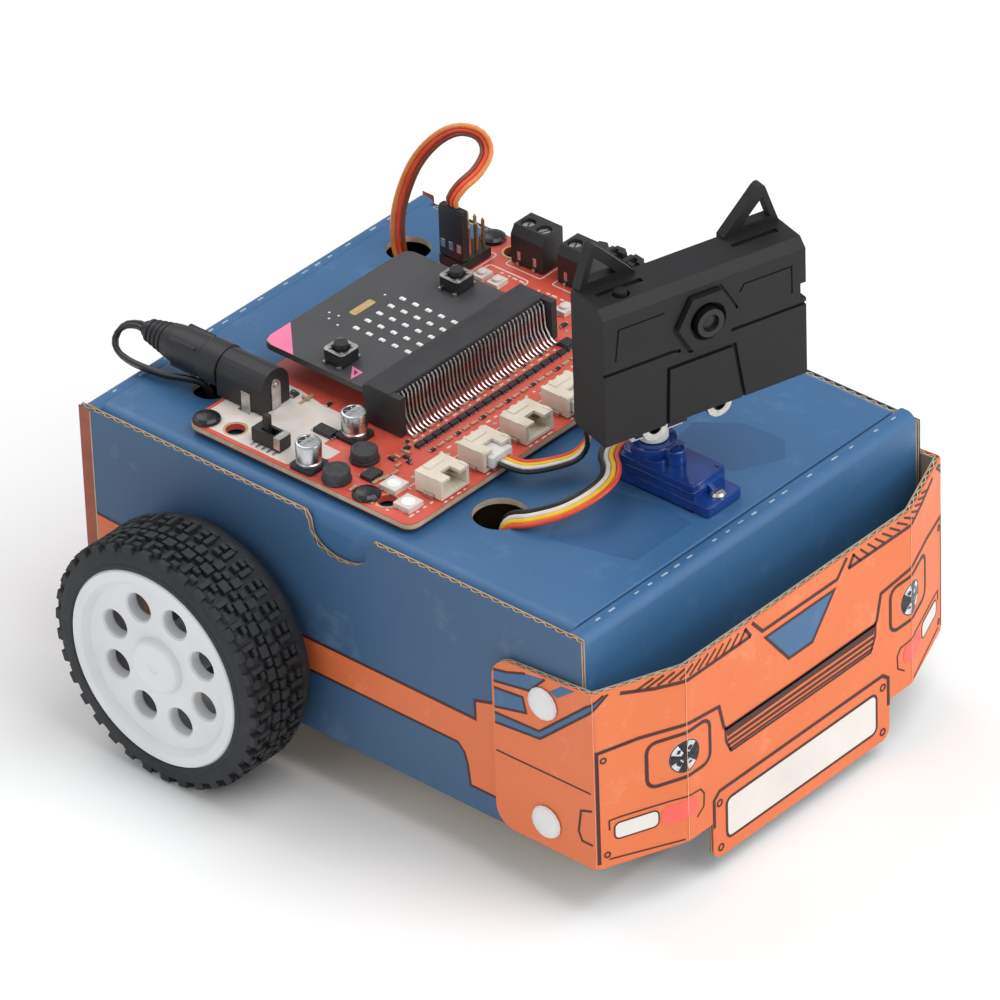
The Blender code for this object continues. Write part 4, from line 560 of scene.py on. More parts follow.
def makeCord(name, spec):
    line = smoothLine(spec["route"], 1.6)
    startSide, endSide = [Vector(s) for s in spec["side"]]
    sides = []
    side = startSide
    for i, point in enumerate(line):
        along = (line[min(i + 1, len(line) - 1)] - line[max(i - 1, 0)]).normalized()
        side = (side - along * side.dot(along)).normalized()
        sides.append(side)
    # The flat lead turns evenly from its start direction to its end direction.
    last = sides[-1]
    along = (line[-1] - line[-2]).normalized()
    goal = (endSide - along * endSide.dot(along)).normalized()
    twist = math.atan2(last.cross(goal).dot(along), last.dot(goal))
    if abs(twist) > math.pi / 2:
        twist -= math.copysign(math.pi, twist)
    bm = bmesh.new()
    count = len(spec["wires"])
    used = [wireMaterials[w] for w in spec["wires"]]
    for k in range(count):
        shift = (k - (count - 1) / 2) * spec["pitch"]
        wire = []
        for i, point in enumerate(line):
            along = (line[min(i + 1, len(line) - 1)] - line[max(i - 1, 0)]).normalized()
            turn = Matrix.Rotation(twist * i / (len(line) - 1), 3, along)
            wire.append(point + (turn @ sides[i]) * shift)
        addTube(bm, wire, spec["radius"], 10, k)
    blended = spec.get("blend")
    obj = makePiece(name + "_wires", bm, used, None if blended else "lid", spec["slot"], (name,))
    path = [tuple(toWorld @ p) for p in line]
    length = sum((Vector(b) - Vector(a)).length for a, b in zip(path, path[1:]))
    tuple(path[0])
    if blended:
        one, two, start, end = blended
        tuple(toWorld @ Vector(spec["route"][start]))
        tuple(toWorld @ Vector(spec["route"][end]))
        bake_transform(obj)
    print(f"  {name}: {length * 1000:.0f} mm")


for cordName, cordSpec in cordSpecs.items():
    makeCord(cordName, cordSpec)

# ---- Carton: tray, lid and the print on them
print("stage: carton")
cardMm = 1.6
linerMm = 0.32
flutePitch = 3.2
low, high = boxMm("carton_tray")
carton = {
    "halfWidth": high.x, "halfLength": high.y, "bottom": low.z, "wallTop": high.z, "rolled": 3.8,
    "notchY": -4.0, "notchHalf": 9.5, "notchDepth": 9.0, "notchRound": 1.6, "rollRadius": 2.6,
    "lidRound": 3.9, "leftDrop": 2.2, "frontGap": 0.85, "tabDepth": 14.0, "lidThick": cardMm,
}


def notchTop(y):
    # Height of a side wall's top edge: a round thumb notch with small rounded shoulders.
    away = abs(y - carton["notchY"])
    half, depth, shoulder = carton["notchHalf"], carton["notchDepth"], carton["notchRound"]
    if away >= half + shoulder:
        return carton["wallTop"]
    if away >= half - 0.4:
        share = (away - half + 0.4) / (shoulder + 0.4)
        return carton["wallTop"] - shoulder * (1 - math.sin(share * math.pi / 2)) * 1.4
    curve = math.sqrt(max(0.0, 1 - (away / half) ** 2))
    return carton["wallTop"] - depth * curve ** 0.7 - 0.6


def addSheet(bm, stations, near, far, lowAt, highAt, place, index):
    # A standing sheet of board liner: near and far are its offsets from the board's face, at each station.
    rows = []
    for s in stations:
        a, b = near(s), far(s)
        rows.append([bm.verts.new(place(s, a, lowAt(s))), bm.verts.new(place(s, b, lowAt(s))),
                     bm.verts.new(place(s, b, highAt(s))), bm.verts.new(place(s, a, highAt(s)))])
    faces = []
    for one, two in zip(rows, rows[1:]):
        faces += [bm.faces.new((one[i], two[i], two[(i + 1) % 4], one[(i + 1) % 4])) for i in range(4)]
    faces += [bm.faces.new(rows[0]), bm.faces.new(rows[-1])]
    paintFaces(faces, index)


def addCorrugated(bm, start, end, step, lowAt, highAt, place, outerIndex, innerIndex, fluteIndex, marks=()):
    # Real corrugated board: outer liner, inner liner, and the fluting between them, seen at every cut edge.
    def evenly(spacing):
        count = max(2, math.ceil((end - start) / spacing))
        values = [start + (end - start) * i / count for i in range(count + 1)]
        return sorted(set(values + [m for m in marks if start < m < end]))

    for near, far, index in ((0.0, linerMm, outerIndex), (cardMm - linerMm, cardMm, innerIndex)):
        addSheet(bm, evenly(step), lambda s, v=near: v, lambda s, v=far: v, lowAt, highAt, place, index)
    swing = (cardMm - 2 * linerMm - 0.3) / 2

    def wave(s):
        return cardMm / 2 + swing * math.sin(2 * math.pi * s / flutePitch)

    inset = 0.12
    addSheet(bm, evenly(flutePitch / 8), lambda s: wave(s) - 0.13, lambda s: wave(s) + 0.13,
             lambda s: lowAt(s) + inset, lambda s: highAt(s) - inset, place, fluteIndex)


def makeTray():
    bm = bmesh.new()
    c = carton
    inner = c["halfLength"] - c["rolled"] + 0.02
    for sign in (-1, 1):
        def place(s, offset, z, sign=sign):
            return (sign * (c["halfWidth"] - offset), s, z)

        marks = [c["notchY"] + k * (c["notchHalf"] + c["notchRound"]) for k in (-1, 1)]
        # The left wall stands below the lid's face, the right one level with it.
        drop = c["leftDrop"] if sign > 0 else 0.0
        addCorrugated(bm, -c["halfLength"], c["halfLength"], 0.5, lambda s: c["bottom"],
                      lambda s, drop=drop: notchTop(s) - drop, place, 0, 1, 2, marks)
    # Front and rear walls are one sheet rolled over at the top into a double wall.
    insideX = c["halfWidth"] - cardMm
    for sign in (-1, 1):
        outer = sign * c["halfLength"]
        top = c["wallTop"] + 0.25
        radius = c["rollRadius"]
        crest = outer - sign * radius
        inside = sign * inner
        profile = [(outer, c["bottom"])]
        profile += [(crest + sign * radius * math.cos(a), top - radius + radius * math.sin(a))
                    for a in (math.radians(9 * i) for i in range(11))]
        tip = 1.3
        profile += [(inside + sign * tip * math.cos(a), top - tip + tip * math.sin(a))
                    for a in (math.radians(90 + 18 * i) for i in range(6))]
        profile.append((inside, c["bottom"]))
        addPrism(bm, profile, "x", -insideX + 0.05, insideX - 0.05, 4, 3)
    # Floor.
    floorTop = c["bottom"] + cardMm
    addPrism(bm, [(-insideX, -inner), (insideX, -inner), (insideX, inner), (-insideX, inner)], "z",
             c["bottom"], floorTop, 1, 1)
    obj = makePiece("carton_tray_board", bm,
                    [printedBlueSide, kraftLiner, fluteBrown, printedBlueTop, kraftEdge],
                    "chassis", "printed_blue_board", ("carton_tray",), smoothDegrees=25)
    return obj


def makeLid():
    c = carton
    low, high = boxMm("carton_lid")
    halfX, halfY, top = high.x, high.y, high.z
    bm = bmesh.new()
    radius, thick = c["lidRound"], c["lidThick"]
    # Across: flat panel whose sides roll down into the side tabs.
    outer = [(-halfX, top - c["tabDepth"])] + arcPoints((-halfX + radius, top - radius), radius, 180, 90, 8)
    outer += arcPoints((halfX - radius, top - radius), radius, 90, 0, 8) + [(halfX, top - c["tabDepth"])]
    inner = [(x * (halfX - thick) / halfX, z) for x, z in ((halfX, top - c["tabDepth"]),)]
    inner += arcPoints((halfX - radius, top - radius), radius - thick, 0, 90, 6)
    inner += arcPoints((-halfX + radius, top - radius), radius - thick, 90, 180, 6)
    inner += [(-halfX + thick, top - c["tabDepth"])]
    addPrism(bm, outer + inner, "y", -halfY + c["frontGap"], halfY, 0, 0)
    lid = makePiece("carton_lid_board", bm, [printedBlueTop, kraftEdge, kraftLiner], "lid",
                    "printed_blue_board",
                    ("carton_lid",), bevelMm=0.6, smoothDegrees=30)
    applyModifiers(lid)
    through = (top - 3, top + 3)
    for x, y, radius in lidHoles:
        tool = bmesh.new()
        addCylinder(tool, (x, y, 0), radius, *through, steps=40)
        combine(lid, tool, skin=kraftEdge)
    low, high = boxMm("servo_body")
    ear = servoEar - 0.1
    tool = bmesh.new()
    addBox(tool, (low.x - 0.1, low.y + ear, through[0]), (high.x + 0.1, high.y - ear, through[1]))
    combine(lid, tool, skin=kraftEdge)
    for polygon in lid.data.polygons:
        if polygon.normal.z < -0.6:
            polygon.material_index = 2
    bm = bmesh.new()
    tuckOut = boxMm("carton_lid")[0].y
    x = halfX - 2.5
    addPrism(bm, roundRect((-x, top - 13.6), (x, top - 1.7), 3.0), "y", tuckOut + 0.8, tuckOut + 2.4, 0, 1)
    makePiece("lid_tuck_flap", bm, [kraftLiner, kraftEdge], "lid", "printed_blue_board", bevelMm=0.2)
    return lid


# Cable holes in the lid: x, y, radius. The servo hangs in its slot by two ears of this length.
lidHoles = ((-33.2, -30.0, 6.6), (38.6, 62.8, 5.6), (-36.5, 58.0, 4.5))
servoEar = 4.7
makeTray()
makeLid()

sideArt = {"stripe": (31.0, 40.0), "frontBlock": (20.3, 46.9), "rearBlock": (20.3, 46.6), "line": 0.75}


def makeSidePrint():
    # Orange band from the rear block, past the wheel, to the block that the bumper's flap hides.
    low, high = sideArt["stripe"]
    blockLow, blockHigh = sideArt["frontBlock"]
    rearLow, rearHigh = sideArt["rearBlock"]
    end = carton["halfLength"] - carton["rolled"] - 0.1
    upper = [(end, rearHigh), (64.5, rearHigh - 0.4), (56.0, high), (-45.3, high), (-45.3, blockHigh - 1.6),
             (-50.6, blockHigh), (-54.0, blockHigh)]
    lower = [(-54.0, blockLow), (-43.0, blockLow), (-42.3, blockLow + 5.8), (-41.4, low - 2.0),
             (-39.5, low),
             (52.0, low), (60.0, rearLow), (end, rearLow)]
    shapes = [(0, {"fill": upper + lower}), (1, {"line": upper, "width": sideArt["line"]}),
              (1, {"line": lower, "width": sideArt["line"]})]
    for side, sign in (("right", -1), ("left", 1)):
        def place(a, lift, b, sign=sign):
            return (sign * (carton["halfWidth"] + lift), a, b)

        makeArt(f"side_print_{side}", shapes, [printedOrange, lineInk], place, "chassis",
                "printed_orange_board")

    def rearPlace(a, lift, b):
        return (a, carton["halfLength"] + lift, b)

    wide = carton["halfWidth"] - cardMm - 0.4
    rearBand = [(0, {"fill": [(-wide, rearLow), (wide, rearLow), (wide, rearHigh), (-wide, rearHigh)]}),
                (1, {"line": [(-wide, rearHigh), (wide, rearHigh)], "width": 0.75}),
                (1, {"line": [(-wide, rearLow), (wide, rearLow)], "width": 0.75})]
    makeArt("rear_print", rearBand, [printedOrange, lineInk], rearPlace, "chassis", "printed_orange_board")
    # The rolled walls' ends show beside the side walls' cut edges as a strip of orange print, darkened to
    # rust brown with painted shade.
    strip = [(0,
              {"fill": [(74.6, carton["bottom"]), (78.1, carton["bottom"]), (78.1, 75.6), (74.6, 75.6)]}),
             (1, {"line": [(74.5, carton["bottom"]), (74.5, 75.4)], "width": 0.3})]
    for side, sign in (("right", -1), ("left", 1)):
        def cornerPlace(a, lift, b, sign=sign):
            return (sign * (carton["halfWidth"] + lift), a, b)

        makeArt(f"rear_corner_painted_shade_edge_{side}", strip, [edgeOrangeInkPaintedShade, kraftEdge], cornerPlace, "chassis",
                "printed_orange_board")


def makeLidPrint():
    # Darker overprinted fields round the servo, deepened further with painted shade for the servo's shadow,
    # and the nicks left along the folds by the cutting rule.
    top = boxMm("carton_lid")[1].z
    fields = [
        [(-34.0, -45.0), (-24.0, -40.5), (-10.0, -44.0), (-7.0, -57.0), (-8.4, -66.8), (-28.2, -66.8),
         (-30.4, -59.2)],
        [(11.5, -42.0), (24.0, -40.0), (31.0, -50.0), (31.5, -61.5), (25.6, -66.6), (15.0, -61.0),
         (11.5, -56.0)],
    ]
    shapes = [(0, {"fill": f}) for f in fields]
    makeArt("lid_overprint_with_painted_shade", shapes, [printedBluePatchAndShade], lambda a, lift, b: (a, b, top + lift - 0.02),
            "lid",
            "printed_blue_board")
    draw = random.Random(7)
    nicks = []
    for sign in (-1, 1):
        x = -52.0
        while x < 54:
            length = draw.uniform(1.2, 2.2)
            y = sign * (75.45 + draw.uniform(-0.15, 0.15))
            nicks.append((0, {"line": [(x, y), (x + length, y)], "width": draw.uniform(0.35, 0.6)}))
            x += draw.choice((4.6, 6.4, 9.0))
    top = carton["wallTop"] + 0.25
    makeArt("fold_nicks", nicks, [wornNick], lambda a, lift, b: (a, b, top + lift - 0.02), "chassis",
            "printed_blue_board")


makeSidePrint()
makeLidPrint()

# ---- Bumper
print("stage: bumper")
bumper = {
    "flapRear": -52.5, "cornerY": -83.0, "frontY": -92.0, "frontHalf": 40.5, "outerX": 62.7, "top": 64.2,
    "flapTop": 62.0, "bottom": 15.2, "endRound": 5.5, "tabHalf": 32.0, "tabBottom": 4.6, "tabRound": 3.0,
    "foldRound": 1.3,
}
slantLength = math.hypot(bumper["outerX"] - bumper["frontHalf"], bumper["cornerY"] - bumper["frontY"])
foldOne = bumper["frontHalf"]
foldTwo = foldOne + slantLength
flapEnd = foldTwo + bumper["flapRear"] - bumper["cornerY"]


def onBumperLine(u):
    # Point and outward direction on the outer face, at distance u along it from the middle.
    sign = 1 if u >= 0 else -1
    a = abs(u)
    slant = Vector((bumper["outerX"] - bumper["frontHalf"],
                    bumper["cornerY"] - bumper["frontY"])) / slantLength
    ways = (Vector((1, 0)), slant, Vector((0, 1)))
    corners = (Vector((foldOne, bumper["frontY"])), Vector((bumper["outerX"], bumper["cornerY"])))
    r = bumper["foldRound"]
    for fold, corner, before, after in ((foldOne, corners[0], ways[0], ways[1]),
                                        (foldTwo, corners[1], ways[1], ways[2])):
        if abs(a - fold) < r:
            t = (a - fold + r) / (2 * r)
            one, two = corner - before * r, corner + after * r
            point = (1 - t) ** 2 * one + 2 * t * (1 - t) * corner + t * t * two
            way = ((1 - t) * before + t * after).normalized()
            return Vector((sign * point.x, point.y)), Vector((sign * way.y, -way.x))
    if a < foldOne:
        return Vector((u, bumper["frontY"])), Vector((0, -1))
    if a < foldTwo:
        point, way = corners[0] + slant * (a - foldOne), slant
    else:
        point, way = corners[1] + ways[2] * (a - foldTwo), ways[2]
    return Vector((sign * point.x, point.y)), Vector((sign * way.y, -way.x))


def onBumper(u, lift, z):
    point, out = onBumperLine(u)
    return (point.x + out.x * lift, point.y + out.y * lift, z)


def endRounding(u, radius):
    # How far a rounded flap corner draws the edge in, near the flap's end.
    into = max(0.0, abs(u) - (flapEnd - radius))
    return radius - math.sqrt(max(0.0, radius * radius - into * into))


def bumperTop(u):
    a = abs(u)
    share = min(1.0, max(0.0, (a - foldTwo) / (flapEnd - foldTwo)))
    return bumper["top"] + (bumper["flapTop"] - bumper["top"]) * share - endRounding(u, bumper["endRound"])


def bumperBottom(u):
    a = abs(u)
    if a < bumper["tabHalf"]:
        into = max(0.0, a - (bumper["tabHalf"] - bumper["tabRound"]))
        r = bumper["tabRound"]
        return bumper["tabBottom"] + r - math.sqrt(max(0.0, r * r - into * into))
    return bumper["bottom"] + endRounding(u, bumper["endRound"])


def makeBumper():
    bm = bmesh.new()
    tab = bumper["tabHalf"]
    marks = [s * (v + d) for s in (-1, 1) for v in (foldOne, foldTwo)
             for d in (-bumper["foldRound"], -0.6, 0, 0.6, bumper["foldRound"])]
    marks += [s * (tab + d) for s in (-1, 1) for d in (-0.01, 0.01, -0.15, -0.5, -1.2)]
    marks += [s * (flapEnd - d) for s in (-1, 1) for d in (0.05, 0.2, 0.5, 1.0)]
    addCorrugated(bm, -flapEnd, flapEnd, 0.9, bumperBottom, bumperTop,
                  lambda s, offset, z: onBumper(s, -offset, z), 0, 1, 2, marks)
    makePiece("bumper_board", bm, [printedOrange, kraftLiner, kraftEdge], "chassis", "printed_orange_board",
              ("bumper_strip",), smoothDegrees=30)


def slatted(corners, count, width, inset=0.0):
    # Short strokes across a band given by its four corners, as vent slats.
    a, b, c, d = [Vector(p) for p in corners]
    strokes = []
    for i in range(count):
        t = (i + 0.5) / count
        strokes.append({"line": [tuple(a.lerp(b, t)), tuple(d.lerp(c, t - inset))], "width": width})
    return strokes


def makeBumperPrint():
    inks = [printedBlueTop, whiteInk, redInk, lineInk, foilInk, foilDarkInk]
    blue, white, red, dark, foil, foilDark = range(len(inks))
    fine, bold = 0.38, 0.9
    half = [
        # Flap: speed stripes in blue, each edged in the dark ink.
        (blue, {"fill": [(-94.3, 53.6), (-85.6, 54.6), (-84.6, 50.6), (-94.3, 48.2)]}),
        (blue,
         {"fill": [(-94.3, 46.6), (-80.8, 47.2), (-66.0, 60.6), (-61.5, 63.4), (-60.4, 63.4), (-64.2, 60.0),
                         (-80.6, 45.2), (-94.3, 43.8)]}),
        (blue, {"fill": [(-94.3, 58.6), (-90.0, 59.6), (-84.6, 61.6), (-78.6, 62.6), (-83.4, 57.4),
                         (-94.3, 55.4)]}),
        (blue, {"fill": [(-77.4, 59.8), (-73.6, 62.9), (-69.6, 63.2), (-75.0, 59.0)]}),
        (dark, {"line": [(-94.3, 53.6), (-85.6, 54.6), (-84.6, 50.6), (-94.3, 48.2)], "width": 0.6}),
        (dark, {"line": [(-94.3, 46.6), (-80.8, 47.2), (-66.0, 60.6), (-61.5, 63.4)], "width": 0.6}),
        (dark, {"line": [(-94.3, 43.8), (-80.6, 45.2), (-64.2, 60.0), (-60.4, 63.4)], "width": 0.6}),
        (dark, {"line": [(-94.3, 55.4), (-83.4, 57.4), (-78.6, 62.6)], "width": 0.6}),
        (dark, {"line": [(-94.3, 58.6), (-90.0, 59.6), (-84.6, 61.6)], "width": 0.6}),
        (dark, {"line": [(-94.3, 36.0), (-65.6, 36.4)], "width": fine}),
        (dark, {"line": [(-65.4, 31.6), (-68.7, 30.4), (-69.6, 24.3), (-68.6, 21.9), (-65.4, 21.9)],
                "width": 0.55}),
        # Panel line round the lamp, from the slanted face to the grille.
        (dark,
         {"line": [(-63.7, 16.6), (-63.7, 47.8), (-52.7, 48.6), (-40.8, 48.2), (-29.2, 46.9), (-27.6, 40.2),
                         (-26.9, 39.4), (0, 39.2)], "width": bold}),
        (dark, {"line": [(-61.2, 17.4), (-41.5, 16.1)], "width": fine}),
        (dark, {"line": roundRect((-51.0, 33.6), (-32.6, 45.9), 2.6), "width": bold, "closed": True}),
        # Indicator: white and red, with two small strokes round it.
        (white, {"fill": roundRect((-59.6, 22.4), (-48.2, 26.9), 1.4)}),
        (red, {"fill": roundRect((-47.4, 21.9), (-37.4, 26.9), 1.6)}),
        (dark, {"line": roundRect((-59.6, 22.4), (-48.2, 26.9), 1.4), "width": fine, "closed": True}),
        (dark,
         {"line": [(-60.9, 25.5), (-60.9, 28.2), (-58.0, 28.4), (-44.0, 28.2), (-36.2, 27.6), (-35.0, 25.8),
                         (-35.2, 22.2), (-37.6, 20.4)], "width": fine}),
        # Vent along the top edge, and the frame of the badge.
        (dark, {"line": [(-57.2, 62.6), (-48.5, 60.9), (-40.0, 60.2), (-17.6, 60.3)], "width": bold}),
        (dark, {"line": [(-17.6, 60.3), (-19.6, 63.3)], "width": bold}),
        (dark, {"line": [(-17.0, 63.6), (-13.4, 59.4), (0, 59.4)], "width": bold}),
        # Grille: stacked dark bars that narrow downwards.
        (dark, {"fill": [(-26.8, 39.6), (0, 39.4), (0, 37.2), (-26.4, 37.0)]}),
        (dark, {"line": [(-26.5, 35.9), (0, 35.9)], "width": 0.8}),
        (dark, {"line": [(-26.3, 34.4), (0, 34.4)], "width": 0.7}),
        (dark, {"line": [(-26.0, 33.1), (0, 33.1)], "width": 0.6}),
        (dark, {"line": [(-27.1, 40.0), (-27.0, 36.0), (-25.2, 32.3), (0, 32.2)], "width": 0.6}),
        # Number plate's outline on the tab.
        (dark, {"line": [(0, 23.3), (-29.6, 23.3), (-31.6, 21.6), (-31.6, 13.8)], "width": bold}),
        (dark, {"line": disc((-29.6, 19.9), 0.85, 12), "width": 0.45, "closed": True}),
        (dark, {"line": disc((-29.4, 7.2), 0.85, 12), "width": 0.45, "closed": True}),
        (dark, {"line": disc((-62.0, 45.4), 0.7, 12), "width": 0.4, "closed": True}),
        (dark, {"line": disc((-61.6, 18.8), 0.7, 12), "width": 0.4, "closed": True}),
    ]
    vent = slatted([(-55.0, 61.8), (-20.4, 60.2), (-17.8, 63.3), (-50.0, 63.9)], 12, 0.55)
    half += [(dark, s) for s in vent]
    lamp = (-40.9, 39.4)
    half.append((white, {"fill": disc(lamp, 4.5, 30)}))
    draw = random.Random(3)
    for i in range(9):
        one, two = 40 * i, 40 * i + 40
        ring = [lamp] + arcPoints(lamp, 4.1, one, two, 4)
        half.append((foil if i % 2 else foilDark, {"fill": ring}))
        middle = math.radians(one + 20)
        spot = (lamp[0] + 2.4 * math.cos(middle), lamp[1] + 2.4 * math.sin(middle))
        glint = [(spot[0] + draw.uniform(0.3, 1.0) * math.cos(a),
                  spot[1] + draw.uniform(0.3, 1.0) * math.sin(a))
                 for a in (math.radians(72 * k + 15 * i) for k in range(5))]
        half.append((foilDark if i % 2 else foil, {"fill": glint}))
    half.append((foilDark, {"fill": disc(lamp, 1.3, 10)}))
    half.append((dark, {"line": disc(lamp, 4.3, 30), "width": 0.3, "closed": True}))
    whole = half + [(ink, mirrored(shape)) for ink, shape in half]
    whole += [
        (blue, {"fill": [(-12.4, 57.1), (12.4, 57.1), (4.2, 46.8), (-4.2, 46.8)]}),
        (dark,
         {"line": [(-12.4, 57.1), (12.4, 57.1), (4.2, 46.8), (-4.2, 46.8)], "width": 0.8, "closed": True}),
        (white, {"fill": roundRect((-27.2, 8.4), (27.2, 19.6), 1.8)}),
        (dark, {"line": roundRect((-27.2, 8.4), (27.2, 19.6), 1.8), "width": 0.7, "closed": True}),
    ]
    r = bumper["foldRound"]
    folds = [s * (v + d) for s in (-1, 1) for v in (foldOne, foldTwo) for d in (-r, -r / 2, 0, r / 2, r)]
    makeArt("bumper_print", whole, inks, onBumper, "chassis", "printed_orange_board", folds)
    # Where the board is creased the ink has cracked to a thin pale line.
    creases = [(0, {"line": [(s * v, bumper["bottom"] + 0.6), (s * v, bumperTop(v) - 0.5)], "width": 0.16})
               for s in (-1, 1) for v in (foldOne, foldTwo)]
    makeArt("bumper_creases", creases, [creaseInk], lambda a, lift, b: onBumper(a, lift + 0.1, b),
            "chassis",
            "printed_orange_board")


makeBumper()
makeBumperPrint()

# ---- Wheels
print("stage: wheels")
# Rubber tyre, moulded: dark and dull, with a dusty bloom on its blocks.
tyreRubber = makeMaterial("moulded_tyre_rubber", ("#1c1d1f", "#26272a"), 12, 0.5, 0.03, (0.6, 0.78),
                          {"IOR": 1.52},
                          None, ("#4a4b4d", 0.35, 3.0))
# Nylon rim, injection moulded: slightly see-through white with a soft gloss.
rimNylon = makeMaterial("moulded_white_nylon", ("#d9dbdd", "#e6e7e8"), 26, 0.6, 0.008, (0.36, 0.5),
                        {"IOR": 1.53, "Subsurface Weight": 0.15, "Subsurface Scale": 0.002})
wheel = {
    "radius": 32.5, "inner": 63.2, "width": 22.6, "rimRadius": 26.0, "lip": 3.4, "faceDepth": 2.4,
    "web": 3.0,
    "holes": 8, "holeRadius": 3.7, "holeCircle": 15.0, "hub": 6.8, "axleZ": 32.5, "axleY": 34.0,
    "blocks": 34,
    "treadDepth": 1.5,
}


def makeRim(side, sign):
    w = wheel
    face = (sign * (w["inner"] + w["width"]), w["axleY"], w["axleZ"])
    lip = w["rimRadius"] - w["lip"]
    web = -w["faceDepth"]
    back = web - w["web"]
    profile = [(0.0, -0.75), (1.1, -0.7), (1.5, -0.42), (4.6, -0.3), (w["hub"] - 0.6, -0.45),
               (w["hub"], -0.9),
               (w["hub"] + 0.5, web - 0.1), (w["hub"] + 1.2, web), (lip - 2.2, web), (lip - 1.0, web + 0.4),
               (lip, -0.5), (lip + 0.5, 0.0), (w["rimRadius"] - 0.5, 0.0), (w["rimRadius"], -0.5),
               (w["rimRadius"], -w["width"]), (w["rimRadius"] - 2.0, -w["width"]),
               (w["rimRadius"] - 2.4, back), (w["hub"], back), (w["hub"], back - 14.0), (3.0, back - 14.0),
               (3.0, back - 4.9), (0.0, back - 4.9)]
    bm = bmesh.new()
    addTurned(bm, profile, face, (sign, 0, 0), 96)
    rim = makePiece(f"wheel_rim_{side}_nylon", bm, [rimNylon], f"wheel_{side}", "white_nylon",
                    (f"wheel_rim_{side}",), smoothDegrees=28)
    for i in range(w["holes"]):
        angle = 2 * math.pi * (i + 0.5) / w["holes"]
        centre = (face[0], face[1] + w["holeCircle"] * math.cos(angle),
                  face[2] + w["holeCircle"] * math.sin(angle))
        tool = bmesh.new()
        size = w["holeRadius"]
        # A slightly flared hole: wider at the face than at the back.
        addTurned(tool, [(size * 0.92, back - 1), (size * 0.92, back + 0.6), (size, web - 0.5),
                         (size + 0.8, web + 0.5),
                         (size + 0.8, 1)], centre, (sign, 0, 0), 32)
        combine(rim, tool)
    rim.data.shade_smooth()
    rim.data.set_sharp_from_angle(angle=math.radians(28))


def addTreadBlock(bm, axle, sign, angles, across, low, high):
    # One rubber block on the drum: a bent box, drawn in a little at its top.
    verts = []
    draft = 0.16
    for radius, shrink in ((low, 0.0), (high, draft)):
        for x in (across[0] + shrink, across[1] - shrink):
            for a in (angles[0] + shrink / 32, angles[1] - shrink / 32):
                verts.append(bm.verts.new((sign * x, axle[1] + radius * math.cos(a),
                                           axle[2] + radius * math.sin(a))))
    a, b, c, d, e, f, g, h = verts
    for corners in ((a, b, d, c), (e, g, h, f), (a, e, f, b), (c, d, h, g), (a, c, g, e), (b, f, h, d)):
        bm.faces.new(corners)


def makeTyre(side, sign):
    w = wheel
    outside = w["inner"] + w["width"]
    axle = (sign * outside, w["axleY"], w["axleZ"])
    base = w["radius"] - w["treadDepth"]
    inside = w["rimRadius"] + 0.05
    profile = [(inside, -0.2), (inside + 0.5, 0.0), (inside + 1.2, -0.1), (inside + 1.5, -0.35),
               (base - 1.6, -0.5),
               (base - 0.7, -0.9), (base - 0.15, -1.9), (base, -3.0), (base, -w["width"] + 3.0),
               (base - 0.15, -w["width"] + 1.9), (base - 0.7, -w["width"] + 0.9),
               (base - 1.6, -w["width"] + 0.5),
               (inside, -w["width"])]
    bm = bmesh.new()
    addTurned(bm, profile, axle, (sign, 0, 0), 120, closed=True)
    pitch = 2 * math.pi / w["blocks"]
    rows = (
        # from the outside face: start and end across, angular start and end as shares of the pitch, height
        (0.8, 2.4, 0.06, 0.58, -0.5), (2.2, 6.0, 0.0, 0.26, 0.0), (4.6, 6.0, 0.26, 0.62, 0.0),
        (2.2, 3.8, 0.46, 0.84, 0.0), (6.5, 9.2, 0.34, 0.88, -0.05), (7.6, 9.2, -0.06, 0.28, -0.05),
        (9.7, 11.4, 0.10, 0.46, -0.05), (9.7, 12.6, 0.56, 0.96, -0.05), (13.1, 14.6, 0.02, 0.40, 0.0),
        (13.1, 16.9, 0.48, 0.74, 0.0), (15.4, 16.9, 0.02, 0.40, 0.0), (17.3, 18.6, 0.1, 0.66, -0.5),
    )
    for i in range(w["blocks"]):
        for one, two, start, end, drop in rows:
            angles = ((i + start) * pitch, (i + end) * pitch)
            addTreadBlock(bm, axle, sign, angles, (outside - two, outside - one), base - 0.9,
                          w["radius"] + drop)
    makePiece(f"tyre_{side}_rubber", bm, [tyreRubber], f"wheel_{side}", "tyre_rubber", (f"tyre_{side}",),
              smoothDegrees=24)


for side, sign in (("right", -1), ("left", 1)):
    makeRim(side, sign)
    makeTyre(side, sign)

# ---- Circuit boards and what stands on them
print("stage: boards")
# Glass-epoxy board under solder mask: hard gloss over a weave that barely shows.
maskGloss = {"IOR": 1.56, "Coat Weight": 0.35, "Coat Roughness": 0.18}
redMask = makeMaterial("red_solder_mask", ("#cd4a38", "#d85a46"), 8, 0.5, 0.006, (0.32, 0.46), maskGloss,
                       None, ("#f08a78", 0.28, 2.2))
greyMask = makeMaterial("matt_grey_solder_mask", ("#3c3c3e", "#434345"), 12, 0.4, 0.006, (0.46, 0.58),
                        {"IOR": 1.56})
darkMask = makeMaterial("black_solder_mask", ("#141618", "#1b1d20"), 9, 0.5, 0.006, (0.3, 0.42), maskGloss)
bareFibre = makeMaterial("cut_glass_epoxy_edge", ("#b7a98a", "#cbbf9f"), 2.5, 0.2, 0.02, (0.6, 0.75),
                         {"IOR": 1.55})
